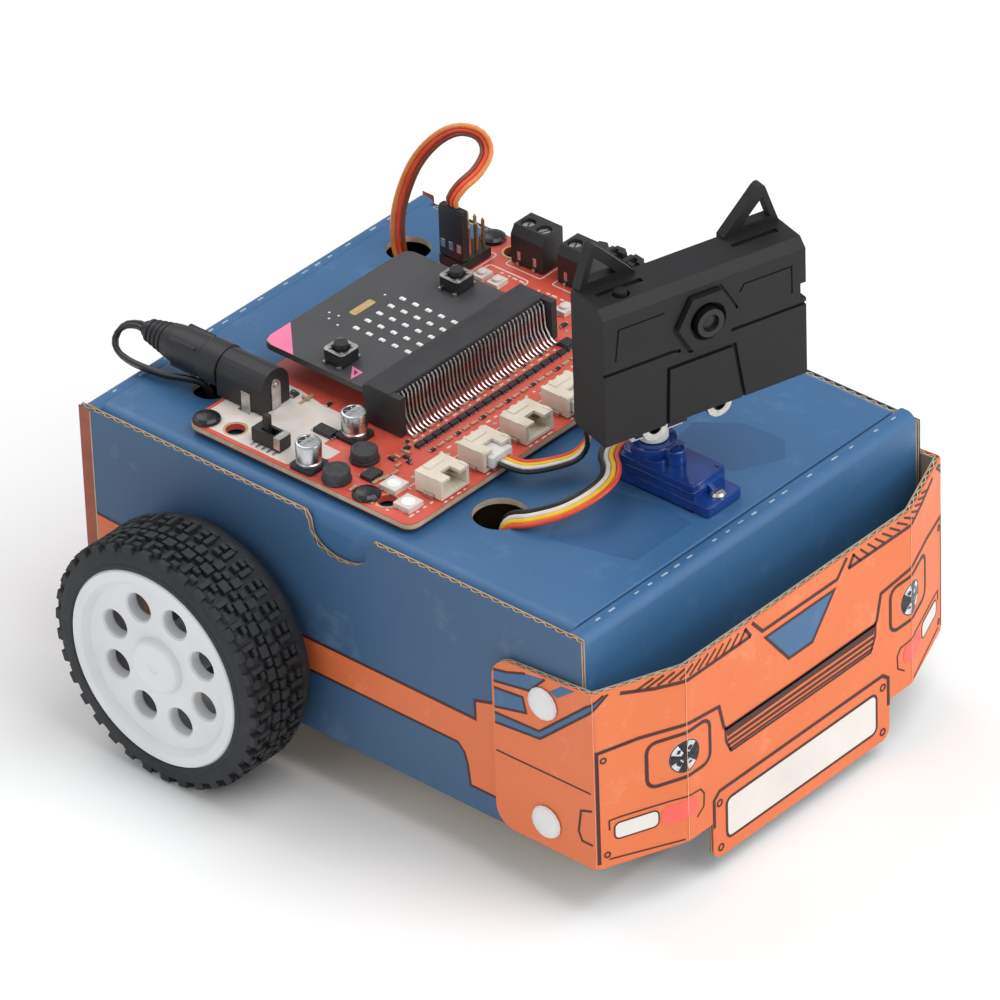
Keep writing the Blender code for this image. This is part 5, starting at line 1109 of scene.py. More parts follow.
# Screen-printed epoxy legend ink: chalky off-white.
legendInk = makeMaterial("white_legend_ink", ("#cfc4bc", "#dcd3cb"), 5, 0.25, 0.006, (0.5, 0.62),
                         {"IOR": 1.5})
rustLegend = makeMaterial("rust_legend_ink", ("#93402f", "#a54f3c"), 3, 0.25, 0.004, (0.5, 0.62),
                          {"IOR": 1.5})
pinkInk = makeMaterial("pink_legend_ink", ("#e6749b", "#f07fa6"), 7, 0.3, 0.004, (0.42, 0.55), {"IOR": 1.5})
goldPlate = makeMaterial("gold_plated_pad", ("#e6c07a", "#f3d9a2"), 2, 0.3, 0.004, (0.28, 0.4),
                         {"Metallic": 1.0})
# Reflowed tin solder: bright, rounded, slightly frosted.
solder = makeMaterial("reflowed_tin_solder", ("#b4b2ac", "#d2d0ca"), 1.0, 0.2, 0.02, (0.25, 0.45),
                      {"Metallic": 1.0})
# Black epoxy and ABS mouldings: near-black, satin from spark-eroded moulds.
mouldedBlack = makeMaterial("moulded_black_abs", ("#18181a", "#222224"), 7, 0.28, 0.012, (0.42, 0.56),
                            {"IOR": 1.53})
softBlack = makeMaterial("moulded_black_pbt", ("#232325", "#2d2d30"), 6, 0.3, 0.012, (0.45, 0.6),
                         {"IOR": 1.54})
chipBlack = makeMaterial("black_epoxy_chip", ("#1b1b1c", "#28282a"), 1.5, 0.2, 0.006, (0.38, 0.5),
                         {"IOR": 1.55})
ferriteGrey = makeMaterial("sintered_ferrite", ("#242426", "#36363a"), 1.4, 0.2, 0.03, (0.5, 0.7),
                           {"IOR": 1.6})
ceramicTan = makeMaterial("ceramic_chip", ("#a97f58", "#c39b72"), 1.2, 0.2, 0.005, (0.3, 0.45),
                          {"IOR": 1.6})
# Drawn aluminium can with a thin clear sleeve: bright, streaked round its height.
canAluminium = makeMaterial("drawn_aluminium", ("#b9bbbd", "#d9dadb"), 2.2, 0.25, 0.006, (0.2, 0.34),
                            {"Metallic": 1.0}, stretch=(1, 1, 0.15))
nickel = makeMaterial("nickel_plated_steel", ("#b6b5b2", "#dad9d5"), 2.0, 0.3, 0.006, (0.22, 0.36),
                      {"Metallic": 1.0})
creamNylon = makeMaterial("moulded_cream_nylon", ("#d9cdb8", "#e7ddca"), 5, 0.3, 0.012, (0.4, 0.52),
                          {"IOR": 1.53})
whiteNylon = makeMaterial("moulded_white_nylon_plug", ("#dcdad5", "#e9e7e2"), 5, 0.3, 0.012, (0.38, 0.5),
                          {"IOR": 1.53})
lightLens = makeMaterial("clear_epoxy_led", ("#e9e9e6", "#f7f7f4"), 1.2, 0.2, 0.006, (0.15, 0.25),
                         {"IOR": 1.52})
rivetNylon = makeMaterial("moulded_white_rivet_nylon", ("#dfdfde", "#ebebea"), 6, 0.3, 0.01, (0.32, 0.45),
                          {"IOR": 1.53})
blackRivet = makeMaterial("moulded_black_rivet_nylon", ("#131314", "#1d1d1f"), 5, 0.3, 0.01, (0.22, 0.36),
                          {"IOR": 1.53})

boardLow, boardHigh = boxMm("driver_board")
boardTop = boardHigh.z
driver = {
    "holes": ((-48.8, 38.6), (49.8, 38.6), (-48.8, -9.2), (49.8, -9.2)), "holeRadius": 2.42, "maskMm": 0.25,
    "lights": ((-47.4, -14.4), (-43.8, -6.8), (36.4, -14.6), (42.4, -11.2)),
    "testButtons": ((36.7, 37.2), (36.5, 32.2), (37.5, 11.7)),
    "capacitors": ((-49.5, 14.6), (-33.5, 14.8)), "inductors": ((-49.7, 5.8), (-39.4, 6.4)),
    # x, y, width, depth
    "chips": ((-43.6, 0.4, 4.4, 3.4), (37.6, 4.0, 5.0, 4.0), (-36.8, 21.0, 3.0, 5.4), (26.8, 1.6, 3, 3)),
    "headerX": (35.99, 38.53, 41.07, 43.61), "headerY": 45.3, "pinPitch": 2.54,
    "portX": -36.6, "portPitch": 14.8, "terminalY": (31.2, 16.4),
}
ctrlLow, ctrlHigh = boxMm("controller_board")
ctrlTop = ctrlHigh.z


def coat(node, material):
    # A CAD piece that keeps its shape takes a finished material.
    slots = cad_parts[node].data.materials
    if len(slots) == 0:
        slots.append(material)
    for i in range(len(slots)):
        slots[i] = material


def makeDriverBoardPrint():
    x0, x1, y0, y1 = boardLow.x, boardHigh.x, boardLow.y, boardHigh.y
    white, rust, tin, gold = range(4)
    zone = [(x0 + 1.2, 19.5), (-44.0, 13.0), (-40.5, 13.0), (-40.5, 18.4), (-28.4, 18.4), (-28.4, 30.0),
            (-27.0, y1 - 12.0), (-27.0, y1 - 1.0), (x0 + 3.2, y1 - 1.0), (x0 + 1.2, y1 - 3.0)]
    shapes = [(white, {"fill": zone})]
    draw = random.Random(11)

    def dashes(x, y, count, pitch, size, ink, along=(1, 0)):
        # Rows of short bars of uneven length, the look of small legends that say nothing.
        for i in range(count):
            run = size * draw.uniform(0.4, 0.95)
            ax, ay = x + along[0] * pitch * i, y + along[1] * pitch * i
            shapes.append((ink,
                           {"line": [(ax, ay), (ax + along[0] * run, ay + along[1] * run)], "width": 0.55}))

    for row, y in enumerate((35.6, 33.0, 30.4, 24.0, 21.4)):
        dashes(-45.6 + (row % 2) * 1.2, y, 4, 3.2, 2.6, rust)
    shapes.append((rust,
                   {"line": roundRect((-44.6, 25.8), (-35.6, 28.8), 0.7), "width": 0.3, "closed": True}))
    shapes.append((rust, {"line": arcPoints((-44.2, 41.4), 1.9, 110, 430, 18), "width": 0.45}))
    shapes.append((rust, {"line": [(-44.2, 41.6), (-44.2, 43.8)], "width": 0.45}))
    # Frames and bars beside the ports, terminals and header.
    for i in range(4):
        x = driver["portX"] + driver["portPitch"] * i
        shapes.append((white,
                       {"line": [(x - 5.2, -10.2), (x - 5.2, -9.2), (x + 5.2, -9.2), (x + 5.2, -10.2)],
                               "width": 0.35}))
        dashes(x - 4.4, -19.9, 4, 2.2, 1.7, white)
        dashes(x + 6.2, -16.6, 3, 2.0, 1.5, white, (0, 1))
    for y in driver["terminalY"]:
        shapes.append((white, {"line": roundRect((44.6, y - 5.6), (54.2, y + 5.6), 0.6), "width": 0.35,
                               "closed": True}))
        dashes(41.0, y - 3.6, 4, 2.2, 1.7, white, (0, 1))
    for x in driver["headerX"]:
        shapes.append((white, {"line": [(x - 0.9, 40.6), (x + 0.9, 40.6)], "width": 0.4}))
    shapes.append((white,
                   {"line": roundRect((33.0, 40.9), (46.4, 49.4), 0.8), "width": 0.35, "closed": True}))
    shapes.append((white,
                   {"line": roundRect((31.2, 27.0), (42.2, 39.6), 1.0), "width": 0.4, "closed": True}))
    dashes(32.0, 22.6, 4, 2.6, 2.0, white)
    dashes(32.0, 19.8, 3, 2.6, 2.0, white)
    dashes(-50.6, -17.6, 4, 2.4, 1.9, white)
    dashes(-51.6, -12.0, 3, 2.4, 1.8, white, (0, 1))
    for i in range(20):
        dashes(-26.5 + 2.75 * i, 2.6, 1, 2, 1.5, white)
        dashes(-26.5 + 2.75 * i, -5.4, 1, 2, 1.6, white)
    # Plated pads round the edges.
    pads = [(-46.0 + 4.1 * i, -7.2) for i in range(23)] + [(31.5 + 2.6 * i, 8.2) for i in range(6)]
    pads += [(-51.6, 8.0 + 3.0 * i) for i in range(3)] + [(31.4, -2.0 + 2.6 * i) for i in range(4)]
    for x, y in pads:
        shapes.append((tin, {"fill": disc((x, y), 0.55, 10)}))
    for x, y in driver["holes"]:
        shapes.append((gold, {"line": disc((x, y), 2.75, 24), "width": 0.5, "closed": True}))
    legend = makeArt("driver_board_print", shapes, [legendInk, rustLegend, solder, goldPlate],
            lambda a, lift, b: (a, b, boardTop + lift - 0.02), "lid", "red_circuit_board")
    for x, y in driver["holes"]:
        tool = bmesh.new()
        addCylinder(tool, (x, y, 0), driver["holeRadius"], boardTop - 2, boardTop + 2, steps=24)
        combine(legend, tool)
    # Bare glass-epoxy shows along the sawn edges.
    edge = roundRect((x0 - 0.02, y0 - 0.02), (x1 + 0.02, y1 + 0.02), 3.0)
    bm = bmesh.new()
    mask = driver["maskMm"]
    addStroke(bm, edge, 0.08, "z", boardLow.z + mask, boardTop - mask, True)
    makePiece("driver_board_edge", bm, [bareFibre], "lid", "red_circuit_board")


def makeControllerPrint():
    x0, x1, y0, y1 = ctrlLow.x, ctrlHigh.x, ctrlLow.y, ctrlHigh.y
    pink, gold, white = range(3)
    shapes = [
        (pink,
         {"fill": [(x0 + 0.1, y1 - 3.2), (x0 + 0.9, y1 - 0.9), (x0 + 3.2, y1 - 0.1), (x0 + 10.2, y1 - 0.1),
                         (x0 + 0.1, y1 - 10.2)]}),
        (pink, {"line": [(-20.8, 26.4), (-23.9, 23.9), (-21.2, 23.7)], "width": 0.8, "closed": True}),
    ]
    # A plain touch pad.
    shapes.append((gold, {"fill": roundRect((-3.8, 41.2), (3.8, 43.4), 0.6)}))
    for x, y in ((-6.6, 46.9), (-8.6, 45.2), (-6.3, 44.2), (-9.4, 41.7), (7.4, 41.8)):
        shapes.append((white, {"fill": disc((x, y), 0.34, 8)}))
    makeArt("controller_print", shapes, [pinkInk, goldPlate, legendInk],
            lambda a, lift, b: (a, b, ctrlTop + lift - 0.02), "lid", "grey_circuit_board")
    bm = bmesh.new()
    for i in range(5):
        for j in range(5):
            x, y = 0.3 + 4.1 * (i - 2), 28.9 + 4.1 * (j - 2)
            addBox(bm, (x - 0.5, y - 0.8, ctrlTop), (x + 0.5, y + 0.8, ctrlTop + 0.42), 1)
            addCylinder(bm, (x, y, ctrlTop), 0.4, 0.42, 0.6, steps=12, index=0)
    makePiece("controller_lights", bm, [lightLens, lightLens], "lid", "grey_circuit_board", bevelMm=0.1)
    bm = bmesh.new()
    draw = random.Random(5)
    low = ctrlLow.z
    for i in range(16):
        x, y = draw.uniform(x0 + 3, x1 - 3), draw.uniform(y0 + 12, y1 - 3)
        w, d = draw.choice(((1.6, 0.8), (0.8, 1.6), (2.6, 2.0), (4.0, 4.0)))
        addBox(bm, (x - w / 2, y - d / 2, low - 0.9), (x + w / 2, y + d / 2, low - 0.02), 0)
    makePiece("controller_under_chips", bm, [chipBlack], "lid", "grey_circuit_board")


def makeButtons():
    bm = bmesh.new()
    for name in ("tact_switch_a", "tact_switch_b"):
        low, high = boxMm(name)
        middle = (low + high) / 2
        half = (high.x - low.x) / 2
        top = high.z
        inset = half - 0.25
        plate = roundRect((middle.x - inset, middle.y - inset), (middle.x + inset, middle.y + inset), 0.7)
        left, right = strokeSides(plate, 0.9, True)
        for i in range(len(left)):
            j = (i + 1) % len(left)
            quad = [(p.x, p.y) for p in (left[i], left[j], right[j], right[i])]
            verts = [[bm.verts.new((x, y, z)) for x, y in quad] for z in (top - 0.05, top + 0.16)]
            bm.faces.new(verts[1])
            bm.faces.new(verts[0])
            for k in (1, 3):
                n = (k + 1) % 4
                bm.faces.new((verts[0][k - 1], verts[0][k], verts[1][k], verts[1][k - 1]))
                bm.faces.new((verts[0][k], verts[0][n], verts[1][n], verts[1][k]))
        for sx in (-1, 1):
            for sy in (-1, 1):
                addCylinder(bm, (middle.x + sx * (half - 1.1), middle.y + sy * (half - 1.1), top), 0.42,
                            0.0, 0.3,
                            steps=10)
                x = middle.x + sx * (half + 0.35)
                y = middle.y + sy * 2.25
                addBox(bm, (x - 0.45, y - 0.4, low.z - 0.2), (x + 0.45, y + 0.4, low.z + 0.6))
    makePiece("tact_switch_plates", bm, [nickel], "lid", "polished_steel", bevelMm=0.08)


def makeSmallParts():
    # Chip resistors, capacitors and drivers in rows, each with its tinned ends.
    bm = bmesh.new()
    black, tan, tin, white, grey = range(5)

    def chip(x, y, width, depth, rise, body, ends=True, turned=False):
        if turned:
            width, depth = depth, width
        addBox(bm, (x - width / 2, y - depth / 2, boardTop - 0.05),
               (x + width / 2, y + depth / 2, boardTop + rise), body)
        if not ends:
            return
        cap = 0.28
        for sign in (-1, 1):
            if turned:
                lowY = y + sign * (depth / 2) - (cap if sign < 0 else 0.0)
                addBox(bm, (x - width / 2 - 0.03, lowY, boardTop - 0.05),
                       (x + width / 2 + 0.03, lowY + cap, boardTop + rise + 0.03), tin)
            else:
                lowX = x + sign * (width / 2) - (cap if sign < 0 else 0.0)
                addBox(bm, (lowX, y - depth / 2 - 0.03, boardTop - 0.05),
                       (lowX + cap, y + depth / 2 + 0.03, boardTop + rise + 0.03), tin)

    for i in range(19):
        x = -27.0 + 2.95 * i
        chip(x, 0.2, 2.5, 1.5, 0.9, black, ends=False)
        for k in (-1, 0, 1):
            addBox(bm, (x + 0.75 * k - 0.2, -0.9, boardTop - 0.05),
                   (x + 0.75 * k + 0.2, -0.4, boardTop + 0.35), tin)
            addBox(bm, (x + 0.75 * k - 0.2, 0.8, boardTop - 0.05),
                   (x + 0.75 * k + 0.2, 1.3, boardTop + 0.35), tin)
        chip(x + 0.3, -3.4, 1.5, 0.8, 0.5, tan if i % 3 else black)
        chip(x - 0.9, 3.6, 1.2, 0.7, 0.45, tan if i % 2 else black)
    draw = random.Random(21)
    for x0, x1, y0, y1, count in ((30.5, 43.0, -6.0, 14.0, 22), (-51.5, -30.0, -3.5, 2.8, 14),
                                  (30.5, 36.0, 15.0, 27.0, 9), (-30.5, -27.5, 24.0, 47.0, 8)):
        for i in range(count):
            x, y = draw.uniform(x0, x1), draw.uniform(y0, y1)
            chip(x, y, draw.choice((1.2, 1.6, 2.0)), draw.choice((0.7, 0.9)), draw.uniform(0.4, 0.8),
                 draw.choice((black, tan, tan)), turned=draw.random() < 0.5)
    # Motor driver and charger chips with gull-wing leads.
    for x, y, width, depth in driver["chips"]:
        chip(x, y, width, depth, 1.2, black, ends=False)
        for k in range(4):
            px = x - width / 2 + (k + 0.5) * width / 4
            for sign in (-1, 1):
                edge = y + sign * (depth / 2 + 0.35)
                addBox(bm, (px - 0.2, edge - 0.45, boardTop - 0.05),
                       (px + 0.2, edge + 0.45, boardTop + 0.4), tin)
    # Pale square lights and small white test buttons.
    for x, y in driver["lights"]:
        addBox(bm, (x - 2.5, y - 2.5, boardTop - 0.05), (x + 2.5, y + 2.5, boardTop + 1.4), white)
        addCylinder(bm, (x, y, boardTop + 1.4), 1.75, -0.05, 0.12, steps=20, index=grey)
        for sx in (-1, 1):
            for sy in (-1, 1):
                addBox(bm, (x + sx * 2.6 - 0.35, y + sy * 1.5 - 0.45, boardTop - 0.05),
                       (x + sx * 2.6 + 0.35, y + sy * 1.5 + 0.45, boardTop + 0.5), tin)
    for x, y in driver["testButtons"]:
        addBox(bm, (x - 2.1, y - 1.7, boardTop - 0.05), (x + 2.1, y + 1.7, boardTop + 1.3), white)
        addTurned(bm, [(1.25, 1.2), (1.25, 1.9), (0.9, 2.1), (0, 2.15)], (x, y, boardTop), steps=18,
                  index=white)
        for sx in (-1, 1):
            addBox(bm, (x + sx * 2.3 - 0.3, y - 0.6, boardTop - 0.05),
                   (x + sx * 2.3 + 0.3, y + 0.6, boardTop + 0.5), tin)
    makePiece("board_small_parts", bm, [chipBlack, ceramicTan, solder, legendInk, lightLens], "lid",
              "red_circuit_board", bevelMm=0.1)
    # Two capacitor cans on black bases, and two ferrite inductors.
    bm = bmesh.new()
    for x, y in driver["capacitors"]:
        base = roundRect((x - 3.5, y - 3.5), (x + 3.5, y + 3.5), 1.0)
        addPrism(bm, base, "z", boardTop - 0.02, boardTop + 1.0, 1)
        profile = [(3.0, 0.9), (3.15, 1.4), (3.15, 1.9), (2.9, 2.15), (2.9, 2.35), (3.15, 2.6), (3.15, 6.6),
                   (2.95, 7.0), (2.55, 7.08), (2.4, 6.92), (0, 6.92)]
        addTurned(bm, profile, (x, y, boardTop), steps=40)
        for angle in (0, 60, 120):
            reach = [(x + 2.2 * math.cos(math.radians(angle)) * k,
                      y + 2.2 * math.sin(math.radians(angle)) * k)
                     for k in (-1, 1)]
            sides = strokeSides(reach, 0.3)
            quad = [sides[0][0], sides[0][1], sides[1][1], sides[1][0]]
            addPrism(bm, [(p.x, p.y) for p in quad], "z", boardTop + 6.9, boardTop + 6.99, 2)
        addPrism(bm, [(x - 2.3, y + 1.2), (x + 2.3, y + 1.2)] + arcPoints((x, y), 2.6, 28, 152, 8), "z",
                 boardTop + 6.9, boardTop + 6.98, 1)
    makePiece("capacitor_cans", bm, [canAluminium, mouldedBlack, nickel], "lid", "polished_steel")
    bm = bmesh.new()
    for x, y in driver["inductors"]:
        outline = []
        for corner in range(4):
            outline += [(x + 3.6 * math.cos(math.radians(a)), y + 3.6 * math.sin(math.radians(a)))
                        for a in (90 * corner + 18, 90 * corner + 45, 90 * corner + 72)]
        addPrism(bm, outline, "z", boardTop, boardTop + 1.0)
        addTurned(bm, [(3.3, 0.9), (3.3, 2.9), (3.1, 3.2), (2.3, 3.3), (2.2, 3.15), (0, 3.15)],
                  (x, y, boardTop), steps=32)
    makePiece("ferrite_inductors", bm, [ferriteGrey], "lid", "black_abs", bevelMm=0.12)


def makeConnectorPins():
    # Forty bent tin pins down the connector's front face, and their feet on the board.
    low, high = boxMm("edge_connector")
    count = 40
    start, end = low.x + 2.4, high.x - 2.4
    bm = bmesh.new()
    for i in range(count):
        x = start + (end - start) * i / (count - 1)
        y = low.y + 2.6
        line = [(x, y + 0.9, high.z - 0.9), (x, y + 0.1, high.z - 0.55), (x, y - 0.4, high.z - 1.3),
                (x, y - 0.6, high.z - 4.0), (x, y - 0.9, low.z + 3.4), (x, y - 2.3, low.z + 1.1),
                (x, y - 3.0, low.z + 0.3), (x, y - 4.4, boardTop + 0.12)]
        addTube(bm, [Vector(p) for p in line], 0.34, 6)
    makePiece("connector_pins", bm, [nickel], "lid", "polished_steel", smoothDegrees=50)
    bm = bmesh.new()
    # Moulded lip and end blocks of the connector, with its polarising chamfers.
    addPrism(bm, [(high.y + 0.0, high.z - 4.0), (high.y + 0.5, high.z - 4.0), (high.y + 0.5, high.z - 1.0),
                  (high.y - 1.2, high.z + 0.15), (high.y - 8.0, high.z + 0.15),
                  (high.y - 8.0, high.z - 0.05),
                  (high.y + 0.0, high.z - 0.6)], "x", low.x + 0.1, high.x - 0.1)
    makePiece("connector_lip", bm, [softBlack], "lid", "black_abs", bevelMm=0.15)


def makeHeaderAndTerminals():
    headerRows = [driver["headerY"] + k * driver["pinPitch"] for k in (-1, 0, 1)]
    low, high = boxMm("servo_header")
    bm = bmesh.new()
    addBox(bm, low, (high.x, high.y, low.z + 2.5), 0)
    for i, x in enumerate(driver["headerX"]):
        for y in headerRows:
            pinTop = high.z
            addBox(bm, (x - 0.32, y - 0.32, boardTop - 0.1), (x + 0.32, y + 0.32, pinTop - 0.5), 1)
            addTurned(bm, [(0.42, -0.5), (0.2, 0.0), (0, 0.0)], (x, y, pinTop), steps=4, index=1)
        if i < 3:
            mid = x + 1.27
            for y in (low.y, high.y):
                addBox(bm, (mid - 0.25, y - 0.02, low.z), (mid + 0.25, y + 0.02, low.z + 2.5), 0)
    makePiece("servo_header_pins", bm, [mouldedBlack, goldPlate], "lid", "black_abs", ("servo_header",),
              bevelMm=0.08)
    low, high = boxMm("servo_plug")
    bm = bmesh.new()
    addPrism(bm, roundRect((low.x, low.y), (high.x, high.y), 0.25), "z", low.z, high.z - 0.5)
    addPrism(bm, roundRect((low.x + 0.2, low.y + 0.2), (high.x - 0.2, high.y - 0.2), 0.2), "z",
             high.z - 0.6, high.z)
    for y in headerRows:
        addBox(bm, (low.x - 0.05, y - 0.75, low.z + 2.2), (low.x + 0.3, y + 0.75, low.z + 4.6), 1)
    makePiece("servo_plug_shell", bm, [mouldedBlack, nickel], "lid", "black_abs", ("servo_plug",),
              bevelMm=0.15)
    bm = bmesh.new()
    for name in ("screw_terminal_1", "screw_terminal_2"):
        low, high = boxMm(name)
        middle = (low + high) / 2
        for sign in (-1, 1):
            y = middle.y + sign * (high.y - low.y) / 4
            top = high.z - 1.5
            addTurned(bm, [(1.75, -0.4), (1.75, 0.55), (1.5, 0.8), (0, 0.8)], (middle.x, y, top), steps=24)
            slot = strokeSides([(middle.x - 1.3, y - 0.6 * sign), (middle.x + 1.3, y + 0.6 * sign)], 0.42)
            quad = [slot[0][0], slot[0][1], slot[1][1], slot[1][0]]
            addPrism(bm, [(p.x, p.y) for p in quad], "z", top + 0.78, top + 0.84, 1)
            x = low.x
            addBox(bm, (x - 0.05, y - 0.5, low.z + 1.2), (x + 0.3, y + 0.5, low.z + 3.6))
            addBox(bm, (x - 0.7, y - 0.35, boardTop - 0.05), (x + 0.2, y + 0.35, low.z + 0.8))
    makePiece("terminal_screws", bm, [nickel, mouldedBlack], "lid", "polished_steel")


def makePowerParts():
    low, high = boxMm("dc_jack")
    bm = bmesh.new()
    # Metal side and centre tabs on the jack's front end, and its solder lugs.
    addBox(bm, (low.x - 0.25, low.y + 3.6, boardTop - 0.1), (low.x + 0.3, low.y + 6.4, low.z + 4.6))
    mid = (low.x + high.x) / 2
    addPrism(bm, [(mid - 1.5, low.z), (mid + 1.5, low.z), (mid + 1.5, low.z + 6.4)]
             + arcPoints((mid, low.z + 6.4), 1.5, 0, 180, 8) + [(mid - 1.5, low.z)], "y", low.y - 0.35,
             low.y + 0.1)
    addCylinder(bm, (mid, low.y - 0.3, low.z + 6.2), 0.75, 0.0, 0.35, (0, -1, 0), 16)
    addBox(bm, (low.x - 1.4, low.y + 3.2, boardTop - 0.02), (low.x + 0.2, low.y + 6.8, boardTop + 0.25))
    makePiece("jack_contacts", bm, [nickel], "lid", "polished_steel", bevelMm=0.1)
    low, high = boxMm("dc_plug")
    axis = (-36.3, low.y, 84.6)
    # Rubber-moulded plug: collar, tapering grip, ribbed strain relief.
    start = 51.9 - low.y
    profile = [(0, start - 9.4), (2.75, start - 9.4), (2.75, start), (5.2, start + 0.05),
               (5.5, start + 0.4),
               (5.5, start + 5.6), (5.1, start + 6.2), (4.9, start + 14.0), (4.5, start + 17.6)]
    at = start + 18.0
    length = high.y - low.y
    while at < length - 1.3:
        share = (at - start - 18) / (length - start - 18)
        size = 4.3 - 1.9 * share
        profile += [(size, at), (size, at + 0.8), (size - 0.7, at + 1.0), (size - 0.7, at + 1.4)]
        at += 1.6
    profile += [(1.9, length - 0.2), (1.5, length), (0, length)]
    bm = bmesh.new()
    addTurned(bm, profile, axis, (0, 1, 0), 40)
    for turn in range(4):
        a = math.radians(45 + 90 * turn)
        x, z = axis[0] + 4.85 * math.cos(a), axis[2] + 4.85 * math.sin(a)
        addBox(bm, (x - 0.5, 51.9 + 7.4, z - 0.5), (x + 0.5, 51.9 + 15.6, z + 0.5))
    makePiece("dc_plug_moulding", bm, [mouldedBlack], "lid", "black_abs", ("dc_plug",), bevelMm=0.1,
              smoothDegrees=30)
    low, high = boxMm("slide_switch_body")
    bm = bmesh.new()
    addPrism(bm,
             [(low.x - 0.15, low.z + 0.6), (low.x - 0.15, high.z + 0.12), (high.x + 0.15, high.z + 0.12),
                  (high.x + 0.15, low.z + 0.6), (high.x, low.z + 0.6), (high.x, high.z - 0.02),
                  (high.x - 0.75, high.z - 0.02), (high.x - 0.75, high.z - 0.08),
                  (low.x + 0.75, high.z - 0.08),
                  (low.x + 0.75, high.z - 0.02), (low.x, high.z - 0.02), (low.x, low.z + 0.6)], "y",
             low.y - 0.1, low.y + 1.7)
    for k in range(5):
        y = low.y + 0.9 + k * (high.y - low.y - 1.8) / 4
        addBox(bm, (low.x - 1.5, y - 0.22, boardTop - 0.04), (low.x + 0.1, y + 0.22, boardTop + 0.3))
        addBox(bm, (high.x - 0.1, y - 0.22, boardTop - 0.04), (high.x + 1.0, y + 0.22, boardTop + 0.3))
    makePiece("slide_switch_legs", bm, [nickel], "lid", "polished_steel")


def makePorts():
    # Keyed cream sockets: stepped rear block, side slots, two metal ears and four pins inside.
    bm = bmesh.new()
    for i in range(1, 5):
        low, high = boxMm(f"port_{i}")
        mid = (low.x + high.x) / 2
        addBox(bm, (low.x - 0.9, low.y + 2.2, boardTop - 0.05), (low.x + 0.25, low.y + 5.4, low.z + 1.0), 1)
        addBox(bm, (high.x - 0.25, low.y + 2.2, boardTop - 0.05), (high.x + 0.9, low.y + 5.4, low.z + 1.0),
               1)
        for k in range(4):
            x = mid + (k - 1.5) * 2.0
            addBox(bm, (x - 0.25, low.y + 2.8, low.z + 2.1), (x + 0.25, high.y - 0.4, low.z + 2.6), 1)
            addBox(bm, (x - 0.3, high.y - 0.2, boardTop - 0.05), (x + 0.3, high.y + 1.1, boardTop + 0.35),
                   1)
        addPrism(bm,
                 [(low.x - 0.02, high.z - 2.0), (low.x + 0.9, high.z - 0.1), (low.x + 0.9, high.z + 0.25),
                      (low.x - 0.02, high.z + 0.25)], "y", low.y + 0.4, low.y + 2.4, 0)
        addPrism(bm, [(high.x + 0.02, high.z - 2.0), (high.x - 0.9, high.z - 0.1),
                      (high.x - 0.9, high.z + 0.25),
                      (high.x + 0.02, high.z + 0.25)], "y", low.y + 0.4, low.y + 2.4, 0)
        addBox(bm, (mid - 2.6, high.y - 2.6, high.z - 0.1), (mid + 2.6, high.y - 0.3, high.z + 0.3), 0)
    makePiece("port_details", bm, [creamNylon, solder], "lid", "cream_nylon", bevelMm=0.12)


makeDriverBoardPrint()
makeControllerPrint()
makeButtons()
makeSmallParts()
makeConnectorPins()
makeHeaderAndTerminals()
makePowerParts()
makePorts()

# ---- Servo and camera head
print("stage: camera head")
headYaw = math.radians(-16.5)
servoShaft = (1.0, -47.5)
toHead = toWorld @ Matrix.Translation((servoShaft[0], servoShaft[1], 0)) @ Matrix.Rotation(headYaw, 4, "Z")
# Clear blue ABS, injection moulded: dark and deep where it is thick, with sharp highlights.
clearBlue = makeMaterial("clear_blue_abs_moulding", ("#12409e", "#2a66c8"), 7, 0.4, 0.006, (0.06, 0.14),
                         {"IOR": 1.54, "Transmission Weight": 0.6, "Coat Weight": 0.3})
# Silicone sleeve, compression moulded: dead black, dull, with dust specks.
silicone = makeMaterial("black_silicone_rubber", ("#0e0e0f", "#141416"), 18, 0.35, 0.012, (0.5, 0.66),
                        {"IOR": 1.42, "Sheen Weight": 0.06, "Sheen Roughness": 0.4}, None,
                        ("#29292b", 0.3, 1.4))
lensGlass = makeMaterial("black_lens_barrel", ("#08080a", "#0e0e10"), 3, 0.3, 0.004, (0.38, 0.5),
                         {"IOR": 1.5})


